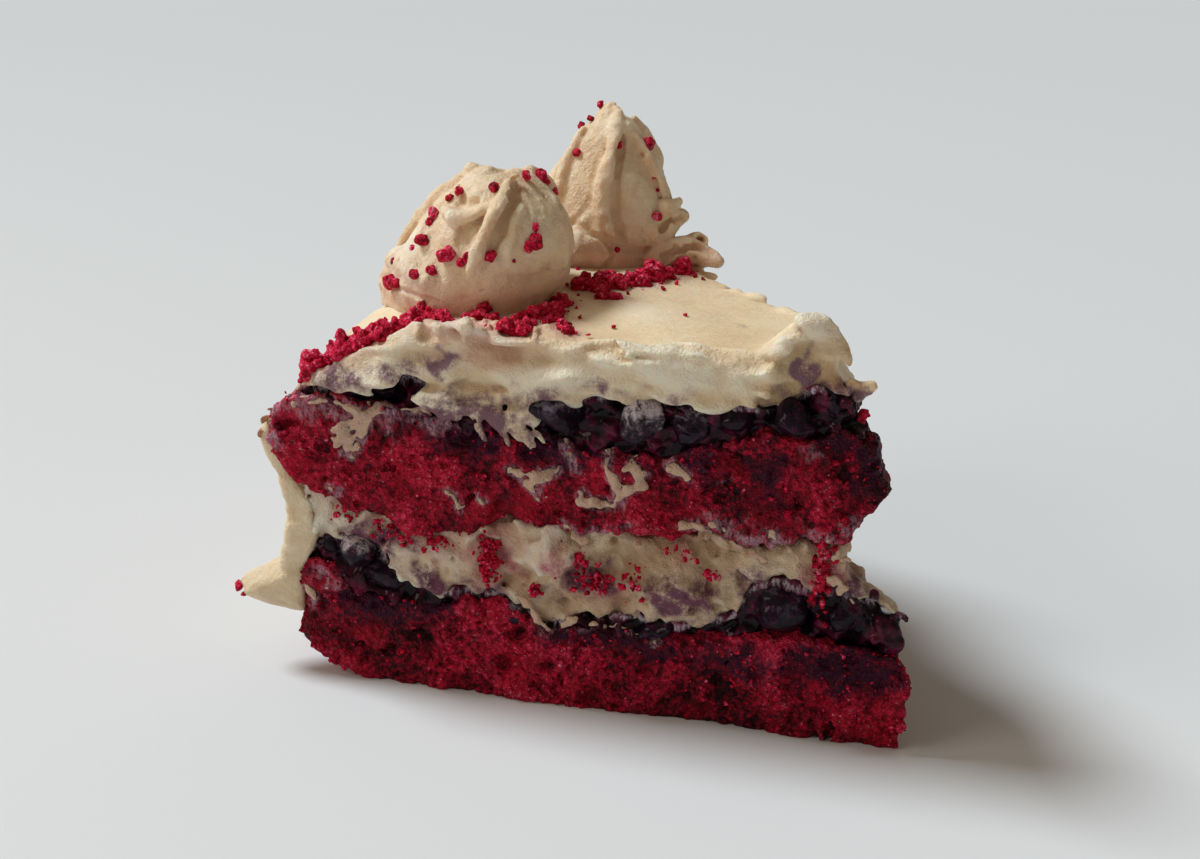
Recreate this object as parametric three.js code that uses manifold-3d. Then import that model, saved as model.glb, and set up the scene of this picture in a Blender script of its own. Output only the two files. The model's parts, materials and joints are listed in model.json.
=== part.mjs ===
// A slice of two-layer red cake with blueberry filling, whipped cream icing, two piped swirls and crumbs.
// Millimetres, +Z up. The slice is drawn with its pointed tip at x = 0, y = 0, the front cut along -x at y = 0
// and the back cut turned by SLICE_ANGLE from it; the whole is then set with its box centred over the origin.
import * as THREE from "three";
import { mergeVertices } from "three/addons/utils/BufferGeometryUtils.js";
import Module from "manifold-3d";

const wasm = await Module();
wasm.setup();

// ---------------------------------------------------------------- driving dimensions
const SLICE_ANGLE = THREE.MathUtils.degToRad(48);
const BOX_CENTRE = { x: -63.86, y: 43.27 }; // middle of the slice's box, from the tip
const SEAM_GAP = 0.3; // between pieces that touch
const COAT_GAP = 0.45; // between the layers and the side icing round them
const SPONGE_ROUGHNESS = 0.55;
const CREAM_ROUGHNESS = 0.3;
const ICING_TOP = 70;
const SWIRL_RING = 91; // distance of the swirls from the tip
const COLOURS = {
  sponge: 0x8f1230,
  cream: 0xd2b894,
  berry: 0x1d1020,
  jam: 0x32091c,
};
const ROUGHNESS = { sponge: 0.75, cream: 0.55, berry: 0.3, jam: 0.3 };

// Heights of each seam along the front cut, as [x, z] pairs from the outer side to the tip.
const FRONT_SEAMS = {
  lowerSpongeTop: [
    [-118, 20], [-110, 21.5], [-105, 20], [-99, 15.5], [-93, 17.5], [-87, 16.5], [-80, 19], [-74, 18],
    [-66, 13.6], [-60, 16.5], [-50, 15.4], [-40, 16], [-32, 17.5], [-25, 20], [-18, 18], [-8, 18.5], [3, 18],
  ],
  lowerJamTop: [
    [-118, 23], [-112, 24], [-107, 28.5], [-101, 29], [-96, 25], [-91, 21], [-86, 19.5], [-80, 21], [-74, 20.5],
    [-66, 15.4], [-60, 18.6], [-53, 19.8], [-46, 18], [-38, 19.6], [-32, 22], [-29, 28], [-25, 30], [-20, 29.3],
    [-14, 29], [-9, 28], [-4, 27], [3, 26],
  ],
  creamTop: [
    [-118, 41], [-112, 38], [-107, 35.8], [-100, 34], [-95, 32.5], [-88, 31.2], [-80, 32], [-75, 34.6],
    [-66, 35.5], [-56, 36.4], [-48, 35.5], [-40, 36], [-33, 37.2], [-25, 37.5], [-18, 38.5], [-11, 40], [3, 41],
  ],
  upperSpongeTop: [
    [-121, 51], [-115, 54], [-110, 55], [-104, 55.3], [-98, 54], [-92, 55], [-87, 53.5], [-80, 52], [-72, 52.3],
    [-64, 51.5], [-56, 50.5], [-47, 50.5], [-41, 53], [-35, 55], [-28, 57], [-22, 57.6], [-14, 57.4], [3, 57],
  ],
  upperJamTop: [
    [-121, 52.5], [-112, 56.8], [-105, 57.5], [-99, 58.5], [-93, 60], [-89, 58.5], [-84, 55.5], [-76, 55.5],
    [-70, 57.6], [-64, 60], [-52, 61.5], [-44, 62], [-36, 60.8], [-28, 61.3], [-24, 63], [-20, 66], [3, 66.5],
  ],
  icingTop: [
    [-122, 50.5], [-115, 55], [-111, 58], [-106, 61.5], [-101, 64.5], [-96, 67], [-91, 69], [-84, 70],
    [-66, 70.4], [-50, 70], [-36, 70.8], [3, 71],
  ],
};
// The seams' heights away from the front cut, with how far they wander.
const INNER_SEAMS = {
  lowerSpongeTop: { z: 18, wander: 1.2 },
  lowerJamTop: { z: 22.5, wander: 1.3 },
  creamTop: { z: 36, wander: 1.2 },
  upperSpongeTop: { z: 54.5, wander: 1.1 },
  upperJamTop: { z: 60.5, wander: 1.1 },
  icingTop: { z: ICING_TOP, wander: 0.5 },
};
const FRONT_SEAM_DEPTH = 12; // how deep into the slice the front cut's own heights reach

// The slice's silhouette: how far the tip is worn back, and the outer radii, at each height.
const BACK_WEAR = 1.8; // the tip is worn this much farther along the back cut
const TIP_SETBACK = curve([
  [0, 1.2], [8, 0.8], [13, 0.2], [18, 2.5], [22, 1], [26, 1.6], [29, 8], [33, 12], [40, 12.5], [44, 9],
  [48, 5.6], [52, 7.4], [57, 10], [61, 12.4], [64, 13.6], [68, 16.6], [73, 17], [77, 18.4], [84, 21],
]);
const LAYER_PROFILE = [
  [0, 101], [1.5, 103.5], [4.5, 111.5], [8, 113.6], [13, 113], [22, 112], [28, 109.5], [35, 110.5], [40, 114],
  [47, 117.6], [52, 116.2], [55, 112.8], [58, 108], [62, 103], [70, 98],
];
const LAYER_RADIUS = curve(LAYER_PROFILE);
const COAT_RADIUS = curve([
  [8, 115], [13, 115.8], [21, 117.2], [28, 116], [34, 115.4], [40, 117.4], [47, 120.2], [51.5, 118.5],
  [55, 116.2], [58, 114], [62, 111], [66, 106.5], [70, 100], [84, 92],
]);
const COAT_HEM = 11.5; // height of the side icing's lower edge

// The lifted lick of icing at the tip.
const LICK = { x: -21.8, y: 3.3, height: 7.6, leftRun: 9.5, rightRun: 8.5, depth: 5.5 };
// The ear of icing pulled out of the side coat at the front corner.
const EAR = [
  { at: [-116.6, 4, 16.2], half: [5.4, 4.2, 5.2] },
  { at: [-121.4, 2.6, 15.3], half: [4.4, 3, 2.9] },
];
const EAR_CRUMB = { at: [-126, 1.6, 15.4], size: 3.4 };

// Blueberries: centre [x, y, z] and half sizes [x, y, z].
const FRONT_BERRIES = {
  upper: [
    { at: [-96.5, 4.2, 57.4], half: [4.4, 4, 2.2] },
    { at: [-64.2, 1.6, 56.2], half: [4.6, 4.2, 4] },
    { at: [-49.6, 1.2, 56.8], half: [4.4, 4.2, 4.6] },
    { at: [-41, 2, 56.8], half: [3.9, 4, 4.2] },
    { at: [-33.8, 1.6, 58.9], half: [3.3, 3.5, 2.9] },
    { at: [-23.3, 1, 59.8], half: [3.7, 3.6, 3.4] },
    { at: [-17.3, 4.6, 63], half: [3.9, 4, 3.9] },
  ],
  lower: [
    { at: [-107.3, 1.4, 26.6], half: [1.8, 2, 2.7] },
    { at: [-101.9, 0.4, 26.2], half: [3.2, 3, 3] },
    { at: [-97.3, 3.4, 21.6], half: [4.8, 4, 3.5] },
    { at: [-72, 1.5, 17.2], half: [2.8, 3, 2.4] },
    { at: [-45.5, 3, 17.3], half: [5.6, 4, 1.9] },
    { at: [-24.6, 1.2, 24.9], half: [4.7, 4.2, 4] },
    { at: [-12.5, 3.4, 24.2], half: [4.2, 3.6, 3.4] },
  ],
};
// Berries in the back cut: distance from the tip, depth inside the cut, height, half size.
const BACK_BERRIES = {
  upper: [
    { run: 27, inset: 1.8, z: 58, size: 4 }, { run: 41, inset: 1.4, z: 57.5, size: 4.4 },
    { run: 66, inset: 1.2, z: 57.3, size: 4.5 }, { run: 90, inset: 1.8, z: 57.6, size: 4.1 },
  ],
  lower: [
    { run: 27, inset: 1.6, z: 21.2, size: 3.8 }, { run: 54, inset: 1.8, z: 20.6, size: 4.2 },
    { run: 88, inset: 1.2, z: 20.9, size: 4 },
  ],
};
const BERRY_CLEARANCE = 1.12; // a berry's bed is this much larger than the berry

// The piped swirls. Lumps are [x, y, height over the icing, half size]: the bent peak, and the torn skirt that the
// knife left on the tall swirl. Width and sway give the half width and how far the middle moves along x,
// at shares of the height. A fold is [degrees from the side that faces the front cut's viewer, how far it stands out, or in where negative];
// the folds turn with the height near the peak. Crumbs are [degrees, share].
const SWIRLS = {
  swirl_low: {
    angle: 16.2, faces: -73, height: 23.4, lean: -1, turn: 36,
    width: [[0, 16.4], [0.12, 17.2], [0.25, 16.3], [0.4, 15.3], [0.55, 14.1], [0.7, 12.1], [0.82, 9.1], [0.92, 6.8], [1, 3.4]],
    sway: [[0, -0.4], [0.12, 0], [0.25, 1.7], [0.4, 3.9], [0.55, 4.7], [0.7, 5.3], [0.82, 6], [1, 5.6]],
    folds: [
      [-172, 0.3], [-154, 0.4], [-137, -0.8], [-120, 0.8], [-103, 0.2], [-87, -0.6], [-72, 0.4], [-56, 0.2], [-41, 0.4],
      [-24, -1.3], [-11, 1.3], [0, -1.3], [11, 0.3], [24, -0.4], [39, 0.4], [55, 0.6], [71, 0.5], [87, 0.2], [103, -0.3],
      [119, 0.9], [136, -0.8], [154, 0.3], [171, -0.5],
    ],
    lumps: [[-86.4, 25.4, 21.4, 2.5], [-77.8, 25, 20.4, 2.6]],
    crumbs: [[-69, 0.69], [-59, 0.5], [-33, 0.45], [-45, 0.28], [-61, 0.16], [27, 0.56]],
  },
  swirl_tall: {
    angle: 40.4, faces: -78, height: 30.4, lean: 0.5, turn: 25,
    width: [[0, 14.2], [0.1, 15], [0.25, 14.2], [0.4, 12.6], [0.55, 11], [0.7, 8.8], [0.82, 6.2], [0.92, 3.3], [1, 0.9]],
    sway: [[0, -1.2], [0.25, -1], [0.4, -0.6], [0.55, 0], [0.7, 0.2], [1, 0]],
    folds: [
      [-172, 0], [-156, -0.8], [-139, 0.3], [-120, 0.6], [-100, 0.1], [-80, -0.8], [-62, 0.8], [-46, 0.1], [-30, 0.6],
      [-15, -1.1], [-4, 1.4], [8, -1.3], [21, 0.4], [36, 0.5], [48, 0.6], [57, -0.6], [68, 0.7], [91, -0.9], [106, 0.3],
      [121, 0.9], [143, -0.9], [160, 0.1], [175, 0.8],
    ],
    lumps: [[-54.5, 55.5, 4, 5], [-51, 53.4, 2.4, 4.4], [-53.2, 56, 8, 3.1], [-46.8, 51.6, 3.2, 2.8]],
    crumbs: [[-47, 0.71], [62, 0.76], [49, 0.32]],
  },
};
const SWIRL_SINK = 9; // how far below the icing's level a swirl's body starts, before it is trimmed

// Crumb piles: the inner line runs before the swirls, the outer one behind them along the rim.
const CRUMB_LINES = [
  { path: [[-110, 4], [-101, 5], [-91, 6.5], [-80, 8.5], [-69, 17], [-62, 31], [-51, 45]], count: 30, spread: 2.8 },
  { path: [[-107, 12], [-104, 30], [-93, 52], [-78, 73]], count: 12, spread: 3.4 },
];
const CRUMB_SIZE = { least: 2.6, most: 5 };

// ---------------------------------------------------------------- small helpers
// A value that runs straight between [where, value] pairs.
function curve(points) {
  return (at) => {
    const next = points.findIndex(([where]) => where >= at);
    if (next === 0) return points[0][1];
    if (next < 0) return points.at(-1)[1];
    const [a, from] = points[next - 1];
    const [b, to] = points[next];
    return THREE.MathUtils.lerp(from, to, (at - a) / (b - a));
  };
}

// Repeatable random numbers from 0 to 1.
function randomFrom(seed) {
  let state = seed;
  return () => {
    state = (state * 1664525 + 1013904223) % 4294967296;
    return state / 4294967296;
  };
}

function solid(geometry) {
  const bare = new THREE.BufferGeometry();
  bare.setAttribute("position", geometry.getAttribute("position"));
  bare.setIndex(geometry.index);
  const merged = mergeVertices(bare, 1e-4);
  return new wasm.Manifold(
    new wasm.Mesh({
      numProp: 3,
      vertProperties: new Float32Array(merged.attributes.position.array),
      triVerts: new Uint32Array(merged.index.array),
    }),
  );
}

function geometryOf(shape) {
  const mesh = shape.getMesh();
  const geometry = new THREE.BufferGeometry();
  geometry.setAttribute("position", new THREE.BufferAttribute(new Float32Array(mesh.vertProperties), 3));
  geometry.setIndex(new THREE.BufferAttribute(new Uint32Array(mesh.triVerts), 1));
  geometry.computeVertexNormals();
  return geometry;
}

// The largest piece of a solid, without loose scraps.
function mainPiece(shape) {
  return shape.decompose().reduce((best, piece) => (piece.volume() > best.volume() ? piece : best));
}

// A closed body through rings of points, each ring anticlockwise from above, from the lowest up.
function loft(rings) {
  const around = rings[0].length;
  const middle = (ring) => ring.reduce((sum, p) => sum.add(p), new THREE.Vector3()).divideScalar(around);
  const points = [...rings.flat(), middle(rings[0]), middle(rings.at(-1))];
  const bottom = rings.length * around;
  const faces = [];
  for (let k = 0; k < around; k++) {
    const next = (k + 1) % around;
    for (let level = 0; level + 1 < rings.length; level++) {
      const low = level * around;
      const high = low + around;
      faces.push(low + k, low + next, high + next, low + k, high + next, high + k);
    }
    faces.push(bottom, next, k, bottom + 1, bottom - around + k, bottom - around + next);
  }
  return new THREE.BufferGeometry().setFromPoints(points).setIndex(faces);
}

// ---------------------------------------------------------------- the slice's outline and seams
const FINE_STEPS = { front: 18, arc: 8, back: 10 };
const COAT_STEPS = { front: 14, arc: 12, back: 9 };
const PLAIN_STEPS = { front: 8, arc: 8, back: 5 };
const onCircle = (radius, angle) => [-radius * Math.cos(angle), radius * Math.sin(angle)];

// The slice's outline at one height, with each point pushed in or out a little.
function outline(z, { radius, inset, setback = 0, roughness, steps, random }) {
  const tip = TIP_SETBACK(z) + setback;
  const outer = radius(z);
  const push = () => (random() - 0.5) * 2 * roughness;
  const points = [];
  const backNormal = [Math.sin(SLICE_ANGLE), Math.cos(SLICE_ANGLE)];
  for (let k = 0; k <= steps.back; k++) {
    const [x, y] = onCircle(THREE.MathUtils.lerp(tip * BACK_WEAR, outer, k / steps.back), SLICE_ANGLE);
    const out = push() - inset;
    points.push(new THREE.Vector3(x + backNormal[0] * out, y + backNormal[1] * out, z));
  }
  for (let k = steps.arc - 1; k > 0; k--) {
    const [x, y] = onCircle(outer, (SLICE_ANGLE * k) / steps.arc);
    points.push(new THREE.Vector3(x, y, z));
  }
  for (let k = 0; k <= steps.front; k++) {
    const x = -THREE.MathUtils.lerp(outer, tip, k / steps.front);
    points.push(new THREE.Vector3(x, inset + push(), z));
  }
  return points;
}

function wedge(levels, shape, seed) {
  const random = randomFrom(seed);
  return solid(loft(levels.map((z) => outline(z, { ...shape, random }))));
}

// A seam's height anywhere in the slice: its own line near the front cut, a slow wave farther in.
function seamHeight(name) {
  const front = curve(FRONT_SEAMS[name]);
  const { z, wander } = INNER_SEAMS[name];
  return (x, y) => {
    const nearFront = Math.exp(-((Math.max(y, 0) / FRONT_SEAM_DEPTH) ** 2));
    const inner = z + wander * Math.sin(x / 9) * Math.cos(y / 8 + x / 31);
    return THREE.MathUtils.lerp(inner, front(x), nearFront);
  };
}

const SEAM_GRID = {
  columns: [-132, -121, -112, -107, -100, -93, -87, -80, -74, -66, -59, -50, -42, -35, -31, -28, -24, -18, -10, 8],
  rows: [-14, 0, 8, 26, 104],
};
const ICING_GRID = {
  columns: [
    -132, -120, -113, -106, -99, -92, -82, -70, -58, -46, -35, -30, -26, -24, -22, -20, -17, -8, 8,
  ],
  rows: [-14, 0, 4, 8, 14, 30, 55, 80, 104],
};
const BELOW_ALL = -20;

// Everything under a height that changes over the slice, as one solid.
function under(height, { columns, rows } = SEAM_GRID) {
  const block = new THREE.BoxGeometry(1, 1, 1, columns.length - 1, rows.length - 1, 1);
  const place = block.getAttribute("position");
  for (let k = 0; k < place.count; k++) {
    const x = columns[Math.round((place.getX(k) + 0.5) * (columns.length - 1))];
    const y = rows[Math.round((place.getY(k) + 0.5) * (rows.length - 1))];
    place.setXYZ(k, x, y, place.getZ(k) > 0 ? height(x, y) : BELOW_ALL);
  }
  return solid(block);
}

// A layer's body between two seams.
function between(body, below, above) {
  const trimmed = above ? body.intersect(under((x, y) => above(x, y) - SEAM_GAP / 2)) : body;
  return below ? trimmed.subtract(under((x, y) => below(x, y) + SEAM_GAP / 2)) : trimmed;
}

// ---------------------------------------------------------------- berries
function berrySolid(at, half, scale = 1) {
  const berry = new THREE.IcosahedronGeometry(1, 1);
  berry.scale(half[0] * scale, half[1] * scale, half[2] * scale);
  berry.translate(at[0], at[1], at[2]);
  return solid(berry);
}

// A berry in the back cut, turned round from its run along the cut and its depth inside it.
function backBerry({ run, inset, z, size }) {
  const [x, y] = onCircle(run, SLICE_ANGLE);
  const at = [x - Math.sin(SLICE_ANGLE) * inset, y - Math.cos(SLICE_ANGLE) * inset, z];
  return { at, half: [size, size, size * 0.85] };
}

const berries = {};
for (const layer of ["upper", "lower"]) {
  FRONT_BERRIES[layer].forEach((berry, k) => (berries[`berry_front_${layer}_${k + 1}`] = berry));
  BACK_BERRIES[layer].forEach((berry, k) => (berries[`berry_back_${layer}_${k + 1}`] = backBerry(berry)));
}
const berryBeds = Object.values(berries)
  .map(({ at, half }) => berrySolid(at, half, BERRY_CLEARANCE))
  .reduce((all, bed) => all.add(bed));

// ---------------------------------------------------------------- sponges, jam and cream
const seams = Object.fromEntries(Object.keys(FRONT_SEAMS).map((name) => [name, seamHeight(name)]));
const layerRadius = (z) => LAYER_RADIUS(z) - COAT_GAP;

function layer({ from, to, below, above, seed, ...shape }) {
  const levels = LAYER_PROFILE.map(([z]) => z).filter((z) => z >= from && z <= to);
  const body = wedge(levels, { radius: layerRadius, ...shape }, seed);
  return mainPiece(between(body, below, above).subtract(berryBeds));
}

const layers = {
  sponge_lower: layer({
    from: 0, to: 28, above: seams.lowerSpongeTop,
    inset: 0, roughness: SPONGE_ROUGHNESS, steps: FINE_STEPS, seed: 11,
  }),
  jam_lower: layer({
    from: 8, to: 35, below: seams.lowerSpongeTop, above: seams.lowerJamTop,
    inset: 1, roughness: 0, steps: PLAIN_STEPS, seed: 12,
  }),
  cream_middle: layer({
    from: 13, to: 47, below: seams.lowerJamTop, above: seams.creamTop,
    inset: 0.6, roughness: SPONGE_ROUGHNESS, steps: FINE_STEPS, seed: 13,
  }),
  sponge_upper: layer({
    from: 28, to: 62, below: seams.creamTop, above: seams.upperSpongeTop,
    inset: -0.4, roughness: SPONGE_ROUGHNESS, steps: FINE_STEPS, seed: 14,
  }),
  jam_upper: layer({
    from: 47, to: 70, below: seams.upperSpongeTop, above: seams.upperJamTop,
    inset: 1, setback: 1, roughness: 0, steps: PLAIN_STEPS, seed: 15,
  }),
};

// ---------------------------------------------------------------- icing on the top and the round side
// Rise of the lick over the icing round it.
function lickRise(x, y) {
  const distance = x < LICK.x ? (LICK.x - x) / LICK.leftRun : (x - LICK.x) / LICK.rightRun;
  const along = Math.max(0, 1 - distance ** (x < LICK.x ? 1.2 : 2));
  return LICK.height * along * Math.exp(-(((y - LICK.y) / LICK.depth) ** 2));
}

// The icing's top falls to the rim as a rounded shoulder.
function icingHeight(x, y) {
  const shoulder = Math.max(0, Math.hypot(x, y) - 98) / 16;
  const deepEnough = THREE.MathUtils.smoothstep(y, 0, FRONT_SEAM_DEPTH);
  return seams.icingTop(x, y) - 9.5 * shoulder ** 2 * deepEnough + lickRise(x, y);
}

function coatCore() {
  const profile = LAYER_PROFILE.map(([z, radius]) => new THREE.Vector2(radius, z));
  const closed = [new THREE.Vector2(0, 0), ...profile, new THREE.Vector2(0, LAYER_PROFILE.at(-1)[0])];
  const core = new THREE.LatheGeometry(closed, 60);
  core.rotateX(Math.PI / 2);
  return solid(core).intersect(under((x, y) => seams.upperJamTop(x, y) + SEAM_GAP / 2));
}

// ---------------------------------------------------------------- crumbs
function crumb(at, size, random) {
  const grain = new THREE.IcosahedronGeometry(size / 2, 0);
  grain.rotateX(random() * Math.PI);
  grain.rotateZ(random() * Math.PI);
  grain.scale(1, 0.75 + random() * 0.4, 0.75 + random() * 0.4);
  grain.translate(at.x, at.y, at.z);
  return solid(grain);
}

const swirlCentre = ({ angle }) => onCircle(SWIRL_RING, THREE.MathUtils.degToRad(angle));

function underSwirl(x, y) {
  return Object.values(SWIRLS).some((swirl) => {
    const [cx, cy] = swirlCentre(swirl);
    const widest = Math.max(...swirl.width.map(([, width]) => width));
    const underLump = swirl.lumps.some(([lx, ly, , half]) => Math.hypot(x - lx, y - ly) < half + 3);
    return underLump || Math.hypot(x - cx, y - cy) < widest + 3;
  });
}

function crumbsOnIcing() {
  const random = randomFrom(41);
  const crumbs = [];
  for (const { path, count, spread } of CRUMB_LINES) {
    const line = new THREE.CatmullRomCurve3(path.map(([x, y]) => new THREE.Vector3(x, y, 0)));
    for (let k = 0; k < count; k++) {
      const at = line.getPointAt((k + random()) / count);
      at.x += (random() - 0.5) * 2 * spread;
      at.y += (random() - 0.5) * 2 * spread;
      const size = THREE.MathUtils.lerp(CRUMB_SIZE.least, CRUMB_SIZE.most, random() ** 1.6);
      const insideBack = at.x * -Math.sin(SLICE_ANGLE) - at.y * Math.cos(SLICE_ANGLE) > 2;
      const insideRim = Math.hypot(at.x, at.y) < 112;
      if (underSwirl(at.x, at.y) || at.y < 1.5 || !insideBack || !insideRim) continue;
      at.z = icingHeight(at.x, at.y) + size * 0.22;
      crumbs.push(crumb(at, size, random));
    }
  }
  crumbs.push(crumb(new THREE.Vector3(...EAR_CRUMB.at), EAR_CRUMB.size, random));
  return crumbs;
}

// ---------------------------------------------------------------- swirls
// A swirl's surface point at a share of its height, on or beside a fold.
function swirlPoint(swirl, share, [degrees, rise]) {
  const [cx, cy] = swirlCentre(swirl);
  const width = curve(swirl.width)(share);
  const depth = rise * THREE.MathUtils.smoothstep(share, 0.1, 0.45) * Math.min(1, width / 9);
  const around = THREE.MathUtils.degToRad(swirl.faces + degrees + swirl.turn * share ** 5);
  return new THREE.Vector3(
    cx + curve(swirl.sway)(share) + (width + depth) * Math.cos(around),
    cy + swirl.lean * share + (width + depth) * Math.sin(around),
    ICING_TOP + swirl.height * share,
  );
}

function swirlSolid(swirl, seed) {
  const rings = swirl.width.map(([share]) => swirl.folds.map((fold) => swirlPoint(swirl, share, fold)));
  const foot = rings[0].map((p) => new THREE.Vector3(p.x, p.y, ICING_TOP - SWIRL_SINK));
  let shape = solid(loft([foot, ...rings]));
  for (const [x, y, rise, half] of swirl.lumps) {
    shape = shape.add(berrySolid([x, y, ICING_TOP + rise], [half, half * 0.85, half * 0.9]));
  }
  const random = randomFrom(seed);
  for (const [degrees, share] of swirl.crumbs) {
    const at = swirlPoint(swirl, share, [degrees, 0]);
    shape = shape.add(crumb(at, THREE.MathUtils.lerp(1.8, 3.4, random()), random));
  }
  return shape;
}

let icing = wedge([7, 13, 21, 28, 34, 40, 47, 51.5, 55, 58, 61, 64, 68, 73, 77, 84], {
  radius: COAT_RADIUS, inset: -0.6, roughness: CREAM_ROUGHNESS, steps: COAT_STEPS,
}, 21);
icing = icing.intersect(under(icingHeight, ICING_GRID));
icing = icing.subtract(under((x, y) => COAT_HEM + Math.sin(x / 5 + y / 7)));
for (const { at, half } of EAR) icing = icing.add(berrySolid(at, half));
icing = icing.subtract(coatCore()).subtract(berryBeds);
icing = crumbsOnIcing().reduce((all, grain) => all.add(grain), icing);
icing = mainPiece(icing);

// Each swirl stands just clear of the icing and its crumbs, and of the other swirl.
const restOn = under((x, y) => icingHeight(x, y) + SEAM_GAP, ICING_GRID);
const low = mainPiece(swirlSolid(SWIRLS.swirl_low, 51).subtract(restOn));
const roomier = SWIRLS.swirl_low.width.map(([share, width]) => [share, width + 0.5]);
const grown = swirlSolid({ ...SWIRLS.swirl_low, width: roomier, crumbs: [] }, 51);
const tall = mainPiece(swirlSolid(SWIRLS.swirl_tall, 52).subtract(restOn).subtract(grown).subtract(low));
const shapes = { ...layers, icing, swirl_low: low, swirl_tall: tall };
for (const [name, { at, half }] of Object.entries(berries)) shapes[name] = berrySolid(at, half);

// ---------------------------------------------------------------- the assembled slice
function finish(name) {
  const food = ["sponge", "jam", "berry"].find((word) => name.startsWith(word)) ?? "cream";
  return new THREE.MeshStandardMaterial({ color: COLOURS[food], roughness: ROUGHNESS[food], metalness: 0 });
}

const slice = new THREE.Group();
slice.name = "red_cake_slice";
slice.position.set(-BOX_CENTRE.x, -BOX_CENTRE.y, 0);
for (const [name, shape] of Object.entries(shapes)) {
  const mesh = new THREE.Mesh(geometryOf(shape), finish(name));
  mesh.name = name;
  slice.add(mesh);
}

export default slice;
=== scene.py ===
"""A slice of red velvet cake with blueberry jam, whipped cream icing, two piped swirls and red crumbs.

Shapes are worked out as distance fields in the slice's own millimetres, meshed, and set into the frame in
metres. The pointed tip is at x = 0, y = 0, the front cut runs along -x at y = 0, and z is up from the base.
"""
import json
import math

import bpy
import numpy as np
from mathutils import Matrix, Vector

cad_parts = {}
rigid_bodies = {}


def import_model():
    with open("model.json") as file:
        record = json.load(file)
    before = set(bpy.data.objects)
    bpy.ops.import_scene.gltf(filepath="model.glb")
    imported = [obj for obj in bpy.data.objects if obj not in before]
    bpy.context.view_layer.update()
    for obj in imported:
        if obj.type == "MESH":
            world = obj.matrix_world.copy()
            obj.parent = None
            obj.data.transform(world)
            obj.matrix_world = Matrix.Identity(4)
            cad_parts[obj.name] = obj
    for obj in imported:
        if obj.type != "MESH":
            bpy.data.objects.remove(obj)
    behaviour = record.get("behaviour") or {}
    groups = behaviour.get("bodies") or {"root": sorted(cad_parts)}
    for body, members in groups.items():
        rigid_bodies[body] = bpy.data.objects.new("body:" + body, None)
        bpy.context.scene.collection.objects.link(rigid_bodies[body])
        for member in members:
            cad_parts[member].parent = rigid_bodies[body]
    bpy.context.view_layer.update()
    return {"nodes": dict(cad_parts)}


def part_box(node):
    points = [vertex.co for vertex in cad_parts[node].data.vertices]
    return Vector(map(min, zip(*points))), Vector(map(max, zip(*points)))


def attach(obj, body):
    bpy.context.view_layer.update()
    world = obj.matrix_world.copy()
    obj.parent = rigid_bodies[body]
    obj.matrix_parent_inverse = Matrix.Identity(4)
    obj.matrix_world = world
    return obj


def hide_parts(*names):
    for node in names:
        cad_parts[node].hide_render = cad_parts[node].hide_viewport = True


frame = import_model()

import openvdb
from mathutils import Matrix, Vector

# ---------------------------------------------------------------- the slice's sizes, as in its solids
BOX_CENTRE = np.array([-63.86, 43.27, 0.0])
SLICE_ANGLE = math.radians(48)
SIN, COS = math.sin(SLICE_ANGLE), math.cos(SLICE_ANGLE)
ICING_TOP = 70.0
SWIRL_RING = 91.0
FRONT_DEPTH = 12.0  # how deep into the slice the front cut's own heights reach
FRONT_SEAMS = {
    "lower_sponge_top": [
        (-118, 20), (-110, 21.5), (-105, 20), (-99, 15.5), (-93, 17.5), (-87, 16.5), (-80, 19), (-74, 18),
        (-66, 13.6), (-60, 16.5), (-50, 15.4), (-40, 16), (-32, 17.5), (-25, 20), (-18, 18), (-8, 18.5),
        (3, 18)],
    "lower_jam_top": [
        (-118, 23), (-112, 24), (-107, 28.5), (-101, 29), (-96, 25), (-91, 21), (-86, 19.5), (-80, 21),
        (-74, 20.5), (-66, 15.4), (-60, 18.6), (-53, 19.8), (-46, 18), (-38, 19.6), (-32, 22), (-29, 28),
        (-25, 30), (-20, 29.3), (-14, 29), (-9, 28), (-4, 27), (3, 26)],
    "cream_top": [
        (-118, 41), (-112, 38), (-107, 35.8), (-100, 34), (-95, 32.5), (-88, 31.2), (-80, 32), (-75, 34.6),
        (-66, 35.5), (-56, 36.4), (-48, 35.5), (-40, 36), (-33, 37.2), (-25, 37.5), (-18, 38.5), (-11, 40),
        (3, 41)],
    "upper_sponge_top": [
        (-121, 51), (-115, 54), (-110, 55), (-104, 55.3), (-98, 54), (-92, 55), (-87, 53.5), (-80, 52),
        (-72, 52.3), (-64, 51.5), (-56, 50.5), (-47, 50.5), (-41, 53), (-35, 55), (-28, 57), (-22, 57.6),
        (-14, 57.4), (3, 57)],
    "upper_jam_top": [
        (-121, 52.5), (-112, 56.8), (-105, 57.5), (-99, 58.5), (-93, 60), (-89, 58.5), (-84, 55.5),
        (-76, 55.5), (-70, 57.6), (-64, 60), (-52, 61.5), (-44, 62), (-36, 60.8), (-28, 61.3), (-24, 63),
        (-20, 66), (3, 66.5)],
    "icing_top": [
        (-122, 50.5), (-115, 55), (-111, 58), (-106, 61.5), (-101, 64.5), (-96, 67), (-91, 69), (-84, 70),
        (-66, 70.4), (-50, 70), (-36, 70.8), (3, 71)],
}
INNER_SEAMS = {  # height away from the front cut, and how far it wanders
    "lower_sponge_top": (18, 1.2), "lower_jam_top": (22.5, 1.3), "cream_top": (36, 1.2),
    "upper_sponge_top": (54.5, 1.1), "upper_jam_top": (60.5, 1.1), "icing_top": (ICING_TOP, 0.5),
}
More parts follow.
